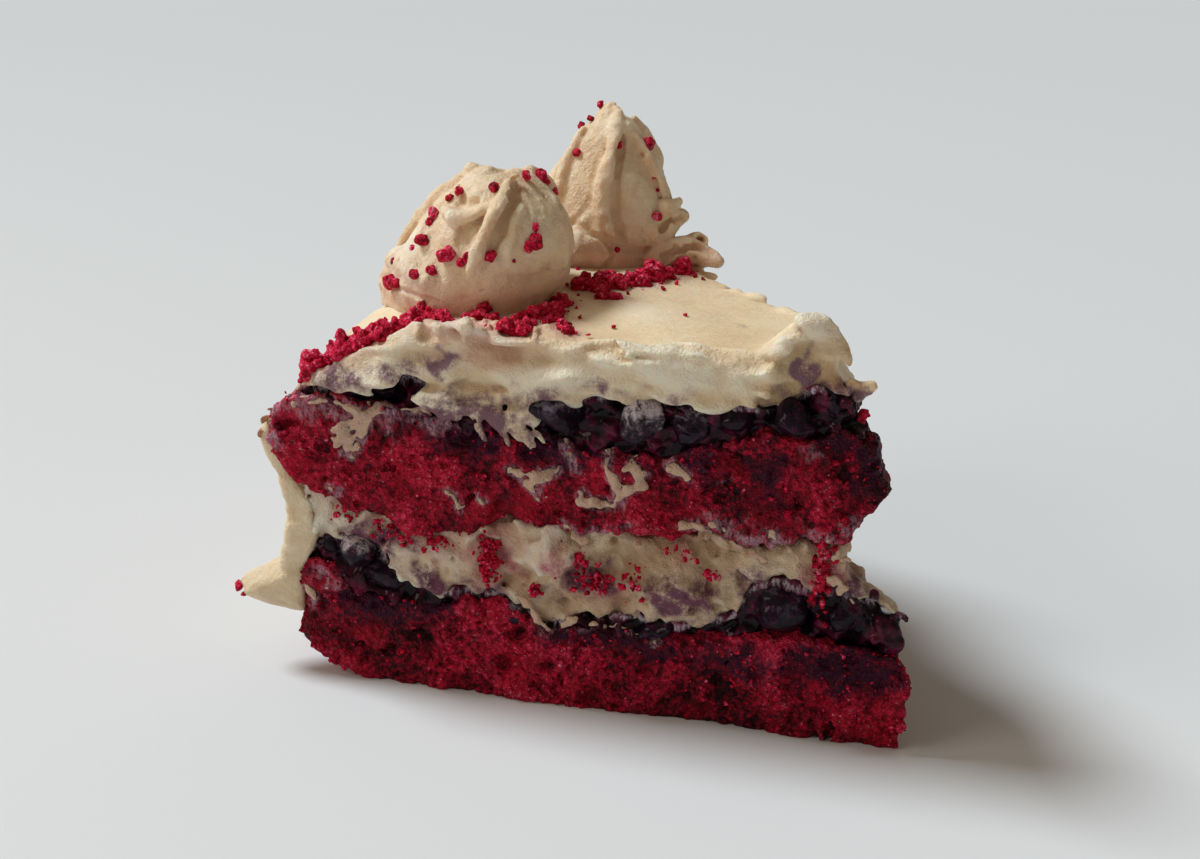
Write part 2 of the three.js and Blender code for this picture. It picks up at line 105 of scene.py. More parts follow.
TIP_SETBACK = [
    (0, 1.2), (8, 0.8), (13, 0.2), (18, 2.5), (22, 1), (26, 1.6), (29, 8), (33, 12), (40, 12.5), (44, 9),
    (48, 5.6), (52, 7.4), (57, 10), (61, 12.4), (64, 13.6), (68, 16.6), (73, 17), (77, 18.4), (84, 21)]
LAYER_RADIUS = [
    (0, 101), (1.5, 103.5), (4.5, 111.5), (8, 113.6), (13, 113), (22, 112), (28, 109.5), (35, 110.5),
    (40, 114), (47, 117.6), (52, 116.2), (55, 112.8), (58, 108), (62, 103), (70, 98)]
COAT_RADIUS = [
    (8, 115), (13, 115.8), (21, 117.2), (28, 116), (34, 115.4), (40, 117.4), (47, 120.2), (51.5, 118.5),
    (55, 116.2), (58, 114), (62, 111), (66, 106.5), (70, 100), (84, 92)]
COAT_HEM = 11.5
LICK = {"x": -21.8, "y": 3.3, "height": 7.6, "left": 8.6, "right": 7.8, "depth": 5.5}
SWIRLS = {  # width and sway along x are given at shares of the height; the lean is along y
    "swirl_low": {
        "angle": 16.2, "height": 23.4, "lean": -1,
        "width": [(0, 16.4), (0.12, 17.2), (0.25, 16.3), (0.4, 15.3), (0.55, 14.1), (0.7, 12.1), (0.82, 9.1),
                  (0.92, 6.8), (1, 3.4)],
        "sway": [(0, -0.4), (0.12, 0), (0.25, 1.7), (0.4, 3.9), (0.55, 4.7), (0.7, 5.3), (0.82, 6),
                 (1, 5.6)]},
    "swirl_tall": {
        "angle": 40.4, "height": 30.4, "lean": 0.5,
        "width": [(0, 14.2), (0.1, 15), (0.25, 14.2), (0.4, 12.6), (0.55, 11), (0.7, 8.8), (0.82, 6.2),
                  (0.92, 3.3), (1, 0.9)],
        "sway": [(0, -1.2), (0.25, -1), (0.4, -0.6), (0.55, 0), (0.7, 0.2), (1, 0)]},
}
CAMERA = {  # where it stands and how it is turned, in the slice's millimetres
    "at": (1.66, -266.98, 158.49), "right": (0.97453, 0.22284, 0.02513), "up": (-0.10201, 0.34073, 0.93461),
    "look": (-0.19971, 0.91337, -0.35478), "lens": 51.0}

VOXEL = {  # millimetres between the grid points of each piece's field
    "sponge_lower": 0.4, "sponge_upper": 0.43, "jam_lower": 0.45, "jam_upper": 0.45, "cream_middle": 0.4,
    "icing": 0.42,
    "swirl": 0.3, "berry": 0.27, "front_smears": 0.28, "back_smears": 0.4, "heaps": 0.29}
FAR = 3.0  # distances beyond this many millimetres are cut off before meshing


# ---------------------------------------------------------------- fields on a grid
def lookup(pairs, at):
    return np.interp(at, *zip(*pairs)).astype(np.float32)


def soft_max(a, b, blend):
    return np.maximum(a, b) + np.maximum(blend - np.abs(a - b), 0) ** 2 / (4 * blend)


def soft_min(a, b, blend):
    return -soft_max(-a, -b, blend)


def ease(value, low, high):
    t = np.clip((value - low) / (high - low), 0, 1)
    return t * t * (3 - 2 * t)


def rounded(pairs, at, blend=0.06):
    """The same lookup with its corners rounded off."""
    return (lookup(pairs, at - blend) + 2 * lookup(pairs, at) + lookup(pairs, at + blend)) / 4


def past_back(x, y):
    """How far a place lies beyond the back cut; less than 0 inside the slice."""
    return x * SIN + y * COS


def spline_weights(axis, scale):
    """How much each point of a coarse lattice counts at each place along an axis."""
    t = axis.ravel() / scale
    cells = np.arange(math.floor(t.min()) - 1, math.floor(t.max()) + 3)
    d = np.abs(t[:, None] - cells[None, :])
    near, far = 2 / 3 - d**2 + d**3 / 2, np.clip(2 - d, 0, None) ** 3 / 6
    return np.where(d < 1, near, far).astype(np.float32)


class Grid:
    """A regular grid over a box, in the slice's millimetres."""

    def __init__(self, low, high, step):
        self.low, self.step = np.array(low, float), step
        counts = np.ceil((np.array(high) - self.low) / step).astype(int) + 1
        axes = [self.low[k] + step * np.arange(counts[k]) for k in range(3)]
        mesh = np.meshgrid(*axes, indexing="ij", sparse=True)
        self.x, self.y, self.z = (a.astype(np.float32) for a in mesh)
        self.shape = tuple(counts)

    def noise(self, scale, seed, stretch=(1, 1, 1)):
        """Smooth seeded noise of about unit size, with features as large as the scale."""
        wx, wy, wz = (spline_weights(a, scale * s) for a, s in zip((self.x, self.y, self.z), stretch))
        lattice = np.random.default_rng(seed).standard_normal((wx.shape[1], wy.shape[1], wz.shape[1]))
        part = np.tensordot(wx, lattice.astype(np.float32), (1, 0))
        part = np.einsum("bj,ajk->abk", wy, part, optimize=True)
        return (part @ wz.T) * 2.9

    def points(self, mask):
        where = np.nonzero(mask)
        return np.stack([self.low[k] + self.step * where[k] for k in range(3)], 1).astype(np.float32)

    def sample(self, volume, points):
        at = np.clip((points - self.low) / self.step, 0, np.array(volume.shape) - 1.001)
        base = at.astype(int)
        part = at - base
        total = np.zeros(len(points))
        for corner in np.ndindex(2, 2, 2):
            weight = np.prod(np.where(corner, part, 1 - part), 1)
            total += weight * volume[tuple((base + corner).T)]
        return total

    def window(self, low, high):
        start = np.clip(((low - self.low) / self.step).astype(int), 0, np.array(self.shape) - 1)
        stop = np.clip(((high - self.low) / self.step).astype(int) + 2, start + 1, self.shape)
        return tuple(slice(a, b) for a, b in zip(start, stop))


def granules(points, size, seed):
    """Round grains packed side by side: 1 at the middle of a grain, 0 in the creases between them."""
    table = np.random.default_rng(seed).random((32, 32, 32, 3), np.float32)
    cell = np.floor(points / size).astype(np.int32)
    inner = points / size - cell
    nearest = np.full(len(points), 4.0, np.float32)
    for step in np.ndindex(3, 3, 3):
        offset = np.array(step) - 1
        at = (cell + offset) & 31
        away = table[at[:, 0], at[:, 1], at[:, 2]] + offset.astype(np.float32) - inner
        np.minimum(nearest, np.einsum("ij,ij->i", away, away), out=nearest)
    return 1 - np.clip(nearest, 0, 1)


def curve_through(path, steps=5):
    """A smooth row of points (and radii, if given) through a few."""
    path = np.array(path, float)
    if len(path) < 3:
        return path
    ends = np.vstack([2 * path[0] - path[1], path, 2 * path[-1] - path[-2]])
    rows = []
    for a, b, c, d in zip(ends, ends[1:], ends[2:], ends[3:]):
        for t in np.arange(steps) / steps:
            rows.append(0.5 * (2 * b + (c - a) * t + (2 * a - 5 * b + 4 * c - d) * t**2
                               + (3 * b - a - 3 * c + d) * t**3))
    return np.array(rows + [path[-1]])


def strand(field, grid, path, blend=0.8, carve=False, squash=(1, 1, 1)):
    """Adds (or carves) a rope through [x, y, z, radius] rows; squash flattens it per axis."""
    rows = curve_through(path)
    squash = np.array(squash, float)
    reach = (rows[:, 3].max() + blend + 1) * squash
    box = grid.window(rows[:, :3].min(0) - reach, rows[:, :3].max(0) + reach)
    x, y, z = grid.x[box[0]], grid.y[:, box[1]], grid.z[:, :, box[2]]
    rope = np.float32(1e3)
    for a, b in zip(rows, rows[1:]):
        way = (b[:3] - a[:3]) / squash
        px, py, pz = (x - a[0]) / squash[0], (y - a[1]) / squash[1], (z - a[2]) / squash[2]
        t = np.clip((px * way[0] + py * way[1] + pz * way[2]) / max(way @ way, 1e-6), 0, 1)
        gap = np.sqrt((px - t * way[0]) ** 2 + (py - t * way[1]) ** 2 + (pz - t * way[2]) ** 2)
        rope = np.minimum(rope, (gap - (a[3] + (b[3] - a[3]) * t)) * squash.min())
    here = field[box]
    field[box] = soft_max(here, -rope, blend) if carve else soft_min(here, rope, blend)


def lump(field, grid, centre, half, blend=0.8, carve=False):
    """Adds (or carves) an egg shape of the given half sizes."""
    centre, half = np.array(centre, float), np.array(half, float)
    box = grid.window(centre - half * 1.3 - blend - 1, centre + half * 1.3 + blend + 1)
    x, y, z = grid.x[box[0]], grid.y[:, box[1]], grid.z[:, :, box[2]]
    away = np.sqrt(sum(((p - c) / h) ** 2 for p, c, h in zip((x, y, z), centre, half)))
    ball = (away - 1) * half.min()
    here = field[box]
    field[box] = soft_max(here, -ball, blend) if carve else soft_min(here, ball, blend)


# ---------------------------------------------------------------- meshes
def metres(points):
    """The slice's millimetres as places in the frame."""
    return (np.asarray(points) - BOX_CENTRE) * 0.001


def mesh_object(name, points, triangles=(), quads=(), smooth=True):
    mesh = bpy.data.meshes.new(name)
    mesh.vertices.add(len(points))
    mesh.vertices.foreach_set("co", metres(points).astype(np.float32).ravel())
    corners = np.concatenate([np.ravel(triangles), np.ravel(quads)]).astype(np.int32)
    mesh.loops.add(len(corners))
    mesh.loops.foreach_set("vertex_index", corners)
    starts = np.concatenate([np.arange(len(triangles)) * 3, len(triangles) * 3 + np.arange(len(quads)) * 4])
    mesh.polygons.add(len(starts))
    mesh.polygons.foreach_set("loop_start", starts.astype(np.int32))
    mesh.update(calc_edges=True)
    mesh.validate()
    if smooth:
        mesh.shade_smooth()
    obj = bpy.data.objects.new(name, mesh)
    bpy.context.scene.collection.objects.link(obj)
    return obj


def largest_part(count, faces):
    """Which vertices belong to the largest connected part."""
    label = np.arange(count)
    sides = [(f[:, k], f[:, (k + 1) % f.shape[1]]) for f in faces if len(f) for k in range(f.shape[1])]
    edges = np.concatenate([np.stack(side, 1) for side in sides])
    while True:
        low = np.minimum(label[edges[:, 0]], label[edges[:, 1]])
        before = label.copy()
        np.minimum.at(label, edges[:, 0], low)
        np.minimum.at(label, edges[:, 1], low)
        label = label[label]
        if (label == before).all():
            break
    return label == np.bincount(label).argmax()


def surface_arrays(grid, field, adaptivity=0.0):
    """A field's zero surface as points, triangles and quads."""
    vdb = openvdb.FloatGrid(background=FAR)
    vdb.copyFromArray(np.clip(field, -FAR, FAR).astype(np.float32))
    points, triangles, quads = vdb.convertToPolygons(isovalue=0.0, adaptivity=adaptivity)
    triangles, quads = triangles.reshape(-1, 3).astype(int), quads.reshape(-1, 4).astype(int)
    return points * grid.step + grid.low, triangles, quads


def skin(name, grid, field, adaptivity=0.0):
    """Meshes the largest part of a field's surface; returns the object and its points in millimetres."""
    points, triangles, quads = surface_arrays(grid, field, adaptivity)
    keep = largest_part(len(points), (triangles, quads))
    renumber = np.cumsum(keep) - 1
    triangles, quads = (renumber[f[keep[f[:, 0]]]] for f in (triangles, quads))
    points = points[keep]
    return mesh_object(name, points, triangles, quads), points


def paint(obj, **values):
    """Gives a mesh one float attribute per name, from a number or from one value per point."""
    count = len(obj.data.vertices)
    for name, value in values.items():
        layer = obj.data.attributes.new(name, "FLOAT", "POINT")
        layer.data.foreach_set("value", np.clip(np.broadcast_to(value, count), 0, 1).astype(np.float32))


def dress(obj, material, slot, *nodes):
    """Gives a piece its material, puts it under the root body and hides the solids that it replaces; slot is
    not used.
    """
    obj.data.materials.clear()
    obj.data.materials.append(material)
    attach(obj, "root")
    if nodes:
        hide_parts(*nodes)


# ---------------------------------------------------------------- materials
def rgb(red, green, blue):
    """A colour given as screen values from 0 to 255."""
    linear = (((c / 255 + 0.055) / 1.055) ** 2.4 if c > 10 else c / 3294.6 for c in (red, green, blue))
    return (*linear, 1.0)


class Wiring:
    """Adds nodes to a tree; an input is given as a value or as another node's output."""

    def __init__(self, tree):
        self.tree = tree

    def add(self, kind, inputs=(), **settings):
        node = self.tree.nodes.new(kind)
        for key, value in settings.items():
            setattr(node, key, value)
        for key, value in dict(inputs).items():
            if isinstance(value, bpy.types.NodeSocket):
                self.tree.links.new(value, node.inputs[key])
            else:
                node.inputs[key].default_value = value
        return node

    def attribute(self, name):
        return self.add("ShaderNodeAttribute", attribute_name=name).outputs["Fac"]

    def noise(self, where, scale, detail=3.0, roughness=0.6):
        inputs = {"Vector": where, "Scale": scale, "Detail": detail, "Roughness": roughness}
        return self.add("ShaderNodeTexNoise", inputs).outputs["Fac"]

    def math(self, operation, a, b=0.0, c=0.0, clamp=False):
        return self.add("ShaderNodeMath", {0: a, 1: b, 2: c}, operation=operation, use_clamp=clamp).outputs[0]

    def mix(self, amount, a, b, blend="MIX"):
        node = self.add("ShaderNodeMix", data_type="RGBA", blend_type=blend, clamp_factor=True)
        for key, value in ((0, amount), (6, a), (7, b)):
            if isinstance(value, bpy.types.NodeSocket):
                self.tree.links.new(value, node.inputs[key])
            else:
                node.inputs[key].default_value = value
        return node.outputs[2]

    def ramp(self, amount, stops):
        node = self.add("ShaderNodeValToRGB", {"Fac": amount})
        elements = node.color_ramp.elements
        first, *middle, last = sorted(stops)
        elements[0].position, elements[0].color = first
        elements[1].position, elements[1].color = last
        for place, colour in middle:
            elements.new(place).color = colour
        return node.outputs["Color"]

    def spread(self, value, low, high, to_low=0.0, to_high=1.0):
        inputs = {"Value": value, "From Min": low, "From Max": high, "To Min": to_low, "To Max": to_high}
        return self.add("ShaderNodeMapRange", inputs, interpolation_type="SMOOTHSTEP").outputs["Result"]


def shader_group(name, inputs, outputs):
    tree = bpy.data.node_groups.new(name, "ShaderNodeTree")
    for title, kind in inputs:
        tree.interface.new_socket(title, in_out="INPUT", socket_type=kind)
    for title, kind in outputs:
        tree.interface.new_socket(title, in_out="OUTPUT", socket_type=kind)
    wire = Wiring(tree)
    return tree, wire, wire.add("NodeGroupInput").outputs, wire.add("NodeGroupOutput").inputs


def build_fine_relief():
    """Bump from fine grain: a coarse part and a part three times finer, as a normal."""
    tree, wire, given, result = shader_group(
        "fine_relief", [("Scale", "NodeSocketFloat"), ("Height", "NodeSocketFloat")],
        [("Normal", "NodeSocketVector")])
    where = wire.add("ShaderNodeTexCoord").outputs["Object"]
    coarse = wire.noise(where, given["Scale"], 4.0, 0.65)
    fine = wire.noise(where, wire.math("MULTIPLY", given["Scale"], 3.1), 3.0, 0.6)
    height = wire.math("MULTIPLY_ADD", fine, 0.4, coarse)
    bump = wire.add("ShaderNodeBump", {"Height": height, "Strength": 1.0, "Distance": given["Height"]})
    tree.links.new(bump.outputs["Normal"], result["Normal"])
    return tree


def broken(wire, mask, texture, amount=3.0):
    """A mask torn up by a texture, and still 0 where it was 0."""
    swing = wire.math("MULTIPLY_ADD", wire.math("SUBTRACT", texture, 0.5), amount, 1.0)
    return wire.math("MULTIPLY", mask, swing)


def build_soak():
    """Berry juice soaked into a colour, and a broken film of cream dragged over it."""
    tree, wire, given, result = shader_group(
        "soak_and_film",
        [("Color", "NodeSocketColor"), ("Juice", "NodeSocketFloat"), ("Film", "NodeSocketFloat"),
         ("Juice Color", "NodeSocketColor"), ("Film Color", "NodeSocketColor")],
        [("Color", "NodeSocketColor")])
    where = wire.add("ShaderNodeTexCoord").outputs["Object"]
    ragged = wire.spread(broken(wire, given["Juice"], wire.noise(where, 480.0, 6.0, 0.72), 3.4), 0.16, 0.8)
    soaked = wire.mix(ragged, given["Color"], given["Juice Color"])
    dragged = wire.add("ShaderNodeVectorMath", {0: where, 1: (1.5, 1.5, 0.55)},
                       operation="MULTIPLY").outputs[0]
    torn = wire.spread(broken(wire, given["Film"], wire.noise(dragged, 850.0, 5.0, 0.72), 4.2), 0.2, 0.95)
    tree.links.new(wire.mix(torn, soaked, given["Film Color"]), result["Color"])
    return tree


def build_crumb_grain():
    """Tiny crumbs packed side by side: their height from 0 to 1, and the bump they make."""
    tree, wire, given, result = shader_group(
        "crumb_grain", [("Scale", "NodeSocketFloat"), ("Height", "NodeSocketFloat")],
        [("Grain", "NodeSocketFloat"), ("Normal", "NodeSocketVector")])
    where = wire.add("ShaderNodeTexCoord").outputs["Object"]
    wobble = wire.add("ShaderNodeTexNoise", {"Vector": where, "Scale": 700.0, "Detail": 3.0}).outputs["Color"]
    bent = wire.add("ShaderNodeVectorMath", {0: wobble, 1: (0.0012,) * 3, 2: where},
                    operation="MULTIPLY_ADD").outputs[0]
    large = wire.add("ShaderNodeTexVoronoi", {"Vector": bent, "Scale": given["Scale"]}).outputs["Distance"]
    finer = wire.math("MULTIPLY", given["Scale"], 2.2)
    small = wire.add("ShaderNodeTexVoronoi", {"Vector": bent, "Scale": finer}).outputs["Distance"]
    grain = wire.math("MULTIPLY_ADD", large, -0.8, wire.math("MULTIPLY_ADD", small, -0.55, 1.1))
    bump = wire.add("ShaderNodeBump", {"Height": grain, "Strength": 1.0, "Distance": given["Height"]})
    tree.links.new(grain, result["Grain"])
    tree.links.new(bump.outputs["Normal"], result["Normal"])
    return tree


GROUPS = {"relief": build_fine_relief(), "soak": build_soak(), "grain": build_crumb_grain()}


def finish(name, build, **surface):
    """A material; build(wire) gives the links for the surface's sockets, surface gives its plain numbers."""
    material = bpy.data.materials.new(name)
    material.use_nodes = True
    material.node_tree.nodes.clear()
    wire = Wiring(material.node_tree)
    bsdf = wire.add("ShaderNodeBsdfPrincipled", surface)
    for key, value in build(wire).items():
        wire.tree.links.new(value, bsdf.inputs[key])
    wire.add("ShaderNodeOutputMaterial", {"Surface": bsdf.outputs[0]})
    return material


def relief(wire, scale, height):
    """The normal of the fine relief group."""
    node = wire.add("ShaderNodeGroup", {"Scale": scale, "Height": height}, node_tree=GROUPS["relief"])
    return node.outputs["Normal"]


def soak(wire, colour, juice, film, juice_colour, film_colour):
    """A colour with juice and a film of cream over it, by the group of that kind."""
    node = wire.add("ShaderNodeGroup", node_tree=GROUPS["soak"])
    for key, value in (("Color", colour), ("Juice", juice), ("Film", film)):
        wire.tree.links.new(value, node.inputs[key])
    node.inputs["Juice Color"].default_value = juice_colour
    node.inputs["Film Color"].default_value = film_colour
    return node.outputs["Color"]


def crumb_grain(wire, scale, height):
    """The height and the normal of the crumb grain group."""
    node = wire.add("ShaderNodeGroup", {"Scale": scale, "Height": height}, node_tree=GROUPS["grain"])
    return node.outputs["Grain"], node.outputs["Normal"]


def grainy(wire, where, scale, amount, base):
    """The relief left by the shape with fine speckle over it."""
    speckle = wire.math("SUBTRACT", wire.noise(where, scale, 3.0, 0.7), 0.5)
    return wire.math("MULTIPLY_ADD", speckle, amount, base)


def sponge_surface(wire):
    where = wire.add("ShaderNodeTexCoord").outputs["Object"]
    grain, bump = crumb_grain(wire, 950.0, 0.0008)
    standing = wire.attribute("relief")
    height = wire.math("MULTIPLY_ADD", wire.math("SUBTRACT", grain, 0.46), 0.75, standing)
    # The ramp paints shade and light into the crumb: painted shade in the pits between grains and pink
    # painted highlights on their tops, over the crumb's own dark-to-crimson tone.
    crumb = wire.ramp(height, [
        (0.05, rgb(24, 0, 5)), (0.28, rgb(68, 1, 14)), (0.46, rgb(116, 3, 27)), (0.62, rgb(154, 7, 38)),
        (0.8, rgb(188, 16, 56)), (1.0, rgb(216, 56, 92))])
    patch = wire.spread(wire.noise(where, 95.0, 3.0, 0.55), 0.48, 0.7)
    vivid = wire.mix(wire.math("MULTIPLY", patch, 0.4), crumb, rgb(196, 5, 42))
    # Painted glints: pale pink specks on the raised grains stand in for highlights.
    speckle = wire.spread(wire.noise(where, 1700.0, 2.0, 0.6), 0.62, 0.74)
    wet = wire.math("MULTIPLY", speckle, wire.spread(standing, 0.5, 0.8))
    with_painted_glints = wire.mix(wire.math("MULTIPLY", wet, 0.55), vivid, rgb(236, 186, 198))
    juice, film = wire.attribute("juice"), wire.attribute("film")
    colour = soak(wire, with_painted_glints, juice, film, rgb(56, 9, 34), rgb(182, 138, 152))
    shine = wire.spread(wire.noise(where, 1500.0, 2.0, 0.5), 0.3, 0.75, 0.4, 0.8)
    return {"Base Color": colour, "Roughness": shine, "Normal": bump}


def cream_surface(scale, height, juice_colour, tints):
    """Whipped cream; scale and height are those of its fine relief."""
    def build(wire):
        where = wire.add("ShaderNodeTexCoord").outputs["Object"]
        fine = wire.noise(where, 900.0, 4.0, 0.7)
        broad = grainy(wire, where, 200.0, 0.25, wire.attribute("relief"))
        tone = wire.math("MULTIPLY_ADD", wire.math("SUBTRACT", fine, 0.5), 0.5, broad)
        # The tint paints shade: the shaded tint in low places, the raised tint on places that stand out.
        body = wire.ramp(tone, list(zip((0.1, 0.5, 0.9), tints)))
        depth = wire.math("MULTIPLY", wire.attribute("rough"), height)
        pink = wire.mix(broken(wire, wire.attribute("pink"), fine), body, rgb(196, 92, 112))
        juice, film = wire.attribute("juice"), wire.attribute("film")
        colour = soak(wire, pink, juice, film, juice_colour, rgb(240, 226, 204))
        shine = wire.spread(wire.noise(where, 500.0, 3.0, 0.6), 0.3, 0.7, 0.36, 0.54)
        return {"Base Color": colour, "Roughness": shine, "Normal": relief(wire, scale, depth)}
    return build


def berry_surface(wire):
    where = wire.add("ShaderNodeTexCoord").outputs["Object"]
    tone = wire.noise(where, 620.0, 5.0, 0.65)
    skin_colour = wire.ramp(tone, [(0.32, rgb(6, 0, 8)), (0.52, rgb(26, 4, 24)), (0.7, rgb(78, 18, 54))])
    # Bloom, the berries' own dusty coat, stands strongest on the upper side, where it also serves as painted
    # sheen.
    bloom = wire.spread(wire.noise(where, 420.0, 6.0, 0.75), 0.5, 0.62)
    with_bloom_and_sheen = wire.mix(wire.math("MULTIPLY", bloom, wire.attribute("bloom")), skin_colour, rgb(128, 114, 140))
    # Cream smeared over the berry, which on the upper side also serves as painted highlights.
    torn = broken(wire, wire.attribute("film"), wire.noise(where, 700.0, 6.0, 0.75), 4.0)
    film = wire.spread(torn, 0.3, 0.8)
    return {"Base Color": wire.mix(film, with_bloom_and_sheen, rgb(214, 196, 200)),
            "Roughness": wire.spread(tone, 0.3, 0.7, 0.3, 0.6), "Normal": relief(wire, 1100.0, 0.001)}


def jam_surface(wire):
    where = wire.add("ShaderNodeTexCoord").outputs["Object"]
    tone = grainy(wire, where, 480.0, 1.5, wire.attribute("relief"))
    colour = wire.ramp(tone, [
        (0.25, rgb(6, 0, 6)), (0.5, rgb(28, 2, 18)), (0.72, rgb(78, 9, 40)), (1.0, rgb(132, 26, 66))])
    pulled = wire.add("ShaderNodeVectorMath", {0: where, 1: (1.6, 1.6, 0.5)}, operation="MULTIPLY").outputs[0]
    torn = broken(wire, wire.attribute("film"), wire.noise(pulled, 620.0, 6.0, 0.75), 4.4)
    film = wire.spread(torn, 0.34, 0.8)
    return {"Base Color": wire.mix(film, colour, rgb(204, 184, 198)),
            "Roughness": wire.spread(tone, 0.3, 0.8, 0.3, 0.6), "Normal": relief(wire, 1000.0, 0.0012)}


def crumb_surface(wire):
    grain, bump = crumb_grain(wire, 1100.0, 0.0007)
    # The tone paints shade and light: painted shade in the creases between grains and pink painted highlights
    # on their tops, over the crumbs' own crimson.
    tone = wire.math("MULTIPLY_ADD", wire.math("SUBTRACT", grain, 0.42), 1.1, wire.attribute("tone"))
    colour = wire.ramp(tone, [
        (0.1, rgb(112, 0, 22)), (0.35, rgb(182, 5, 42)), (0.6, rgb(220, 18, 64)), (0.85, rgb(236, 58, 100)),
        (1.0, rgb(246, 142, 168))])
    return {"Base Color": colour, "Roughness": wire.spread(tone, 0.2, 0.9, 0.42, 0.7), "Normal": bump}


RED_FLESH = {"Subsurface Weight": 0.15, "Subsurface Radius": (1.0, 0.08, 0.14), "Subsurface Scale": 0.001,
             "Specular IOR Level": 0.16}
CREAM_FLESH = {"Subsurface Weight": 0.4, "Subsurface Radius": (1.8, 1.0, 0.45), "Subsurface Scale": 0.001}
WET_SKIN = {"Specular IOR Level": 0.08, "Coat Weight": 0.25, "Coat Roughness": 0.03}
# The creams' tints: painted shade for low places, a middle tint, and a lighter tint with painted light for
# raised places.
ICING_TINTS = (rgb(204, 170, 126), rgb(236, 211, 173), rgb(250, 236, 210))
PIPED_TINTS = (rgb(208, 164, 118), rgb(241, 213, 176), rgb(253, 240, 220))
CUT_TINTS = (rgb(196, 160, 122), rgb(234, 208, 174), rgb(252, 240, 220))
CUT_CREAM = cream_surface(1100.0, 0.0012, rgb(124, 70, 92), CUT_TINTS)
SPREAD_ICING = cream_surface(950.0, 0.0009, rgb(132, 92, 102), ICING_TINTS)
PIPED_CREAM = cream_surface(1050.0, 0.0006, rgb(142, 102, 108), PIPED_TINTS)
MATERIALS = {
    "sponge": finish("red_sponge", sponge_surface, **RED_FLESH),
    "cut_cream": finish("cut_cream", CUT_CREAM, **CREAM_FLESH),
    "icing": finish("spread_icing", SPREAD_ICING, **CREAM_FLESH),
    "piped": finish("piped_cream", PIPED_CREAM, **CREAM_FLESH),
    "berry": finish("blueberry", berry_surface, **WET_SKIN),
    "jam": finish("berry_jam", jam_surface, **WET_SKIN),
    "crumb": finish("red_crumb", crumb_surface, **RED_FLESH),
}


# ---------------------------------------------------------------- the slice's body
def slice_field(grid, radius, inset=0.0, setback=0.0, edge=1.2):
    """Distance outside the wedge: front cut, back cut, round side and worn tip."""
    x, y, z = grid.x, grid.y, grid.z
    front, back = inset - y, past_back(x, y) + inset
    tip = 0.9885 * (x + lookup(TIP_SETBACK, z) + setback) + 0.151 * y
    round_side = np.sqrt(x * x + y * y) - lookup(radius, z)
    return soft_max(soft_max(soft_max(front, back, edge), tip, 3.0), round_side, 2.0)


def seam(name, x, y):
    """The height of the seam between two layers: as drawn at the front cut, plain further in."""
    inner, wander = INNER_SEAMS[name]
    near = np.exp(-((np.maximum(y, 0) / FRONT_DEPTH) ** 2))
    away = inner + wander * np.sin(x / 9) * np.cos(y / 8 + x / 31)
    return away + (lookup(FRONT_SEAMS[name], x) - away) * near


def lick_rise(x, y):
    """How far the torn lick at the tip stands above the icing."""
    left = x < LICK["x"]
    away = np.abs(x - LICK["x"]) / np.where(left, LICK["left"], LICK["right"])
    along = np.clip(1 - away ** np.where(left, 1.2, 2.0), 0, 1)
    return LICK["height"] * along * np.exp(-(((y - LICK["y"]) / LICK["depth"]) ** 2))


def icing_height(x, y):
    shoulder = np.maximum(0, np.hypot(x, y) - 98) / 16
    return seam("icing_top", x, y) - 9.5 * shoulder**2 * ease(y, 0, FRONT_DEPTH) + lick_rise(x, y)


def ground(x, y):
    """The icing's height at one place."""
    return float(icing_height(np.float32(x), np.float32(y)))


SEAM_SEEDS = {name: 71 + k for k, name in enumerate(INNER_SEAMS)}


def torn_seam(name, grid):
    """A seam's height with the ragged edge that both its neighbours share where it is cut."""
    high = grid.low + grid.step * (np.array(grid.shape) - 1.5)
    flat = Grid((*grid.low[:2], 0), (*high[:2], 0), grid.step)
    rag = 0.6 * flat.noise(4.0, SEAM_SEEDS[name]) + 0.45 * flat.noise(1.8, SEAM_SEEDS[name] + 10)
    x, y = grid.x, grid.y
    at_cut = ease(np.maximum(np.maximum(-y, past_back(x, y)), np.hypot(x, y) - 110), -8, -4.5)
    return seam(name, x, y) + rag * at_cut


# The heights that hold each layer, the seams over and under it, and how far it lies behind the cuts.
LAYERS = {
    "sponge_lower": dict(low=-1.0, high=24.0, above="lower_sponge_top", inset=0.0),
    "jam_lower": dict(low=11.0, high=33.0, below="lower_sponge_top", above="lower_jam_top", inset=1.4),
    "cream_middle": dict(low=13.0, high=44.0, below="lower_jam_top", above="cream_top", inset=0.5),
    "sponge_upper": dict(low=28.0, high=61.0, below="cream_top", above="upper_sponge_top", inset=-0.3),
    "jam_upper": dict(low=48.0, high=69.0, below="upper_sponge_top", above="upper_jam_top", inset=1.4,
                      setback=1.0),
}
HOLLOW_DEPTH = 6.5  # the dressed layers are shells this deep behind their cut faces


def layer_grid(name):
    return Grid((-121, -3, LAYERS[name]["low"]), (3, 92, LAYERS[name]["high"]), VOXEL[name])


def layer_field(name, grid):
    """The hollowed layer between its seams, and the whole slice's body that it was cut from."""
    spec = LAYERS[name]
    body = slice_field(grid, LAYER_RADIUS, spec["inset"], spec.get("setback", 0))
    field = soft_max(body, grid.z - torn_seam(spec["above"], grid), 1.0)
    if "below" in spec:
        field = soft_max(field, torn_seam(spec["below"], grid) - grid.z, 1.0)
    hollow = body + HOLLOW_DEPTH
    if name == "sponge_lower":
        hollow = soft_max(hollow, 3.0 - grid.z, 0.5)
    return np.maximum(field, -hollow), body


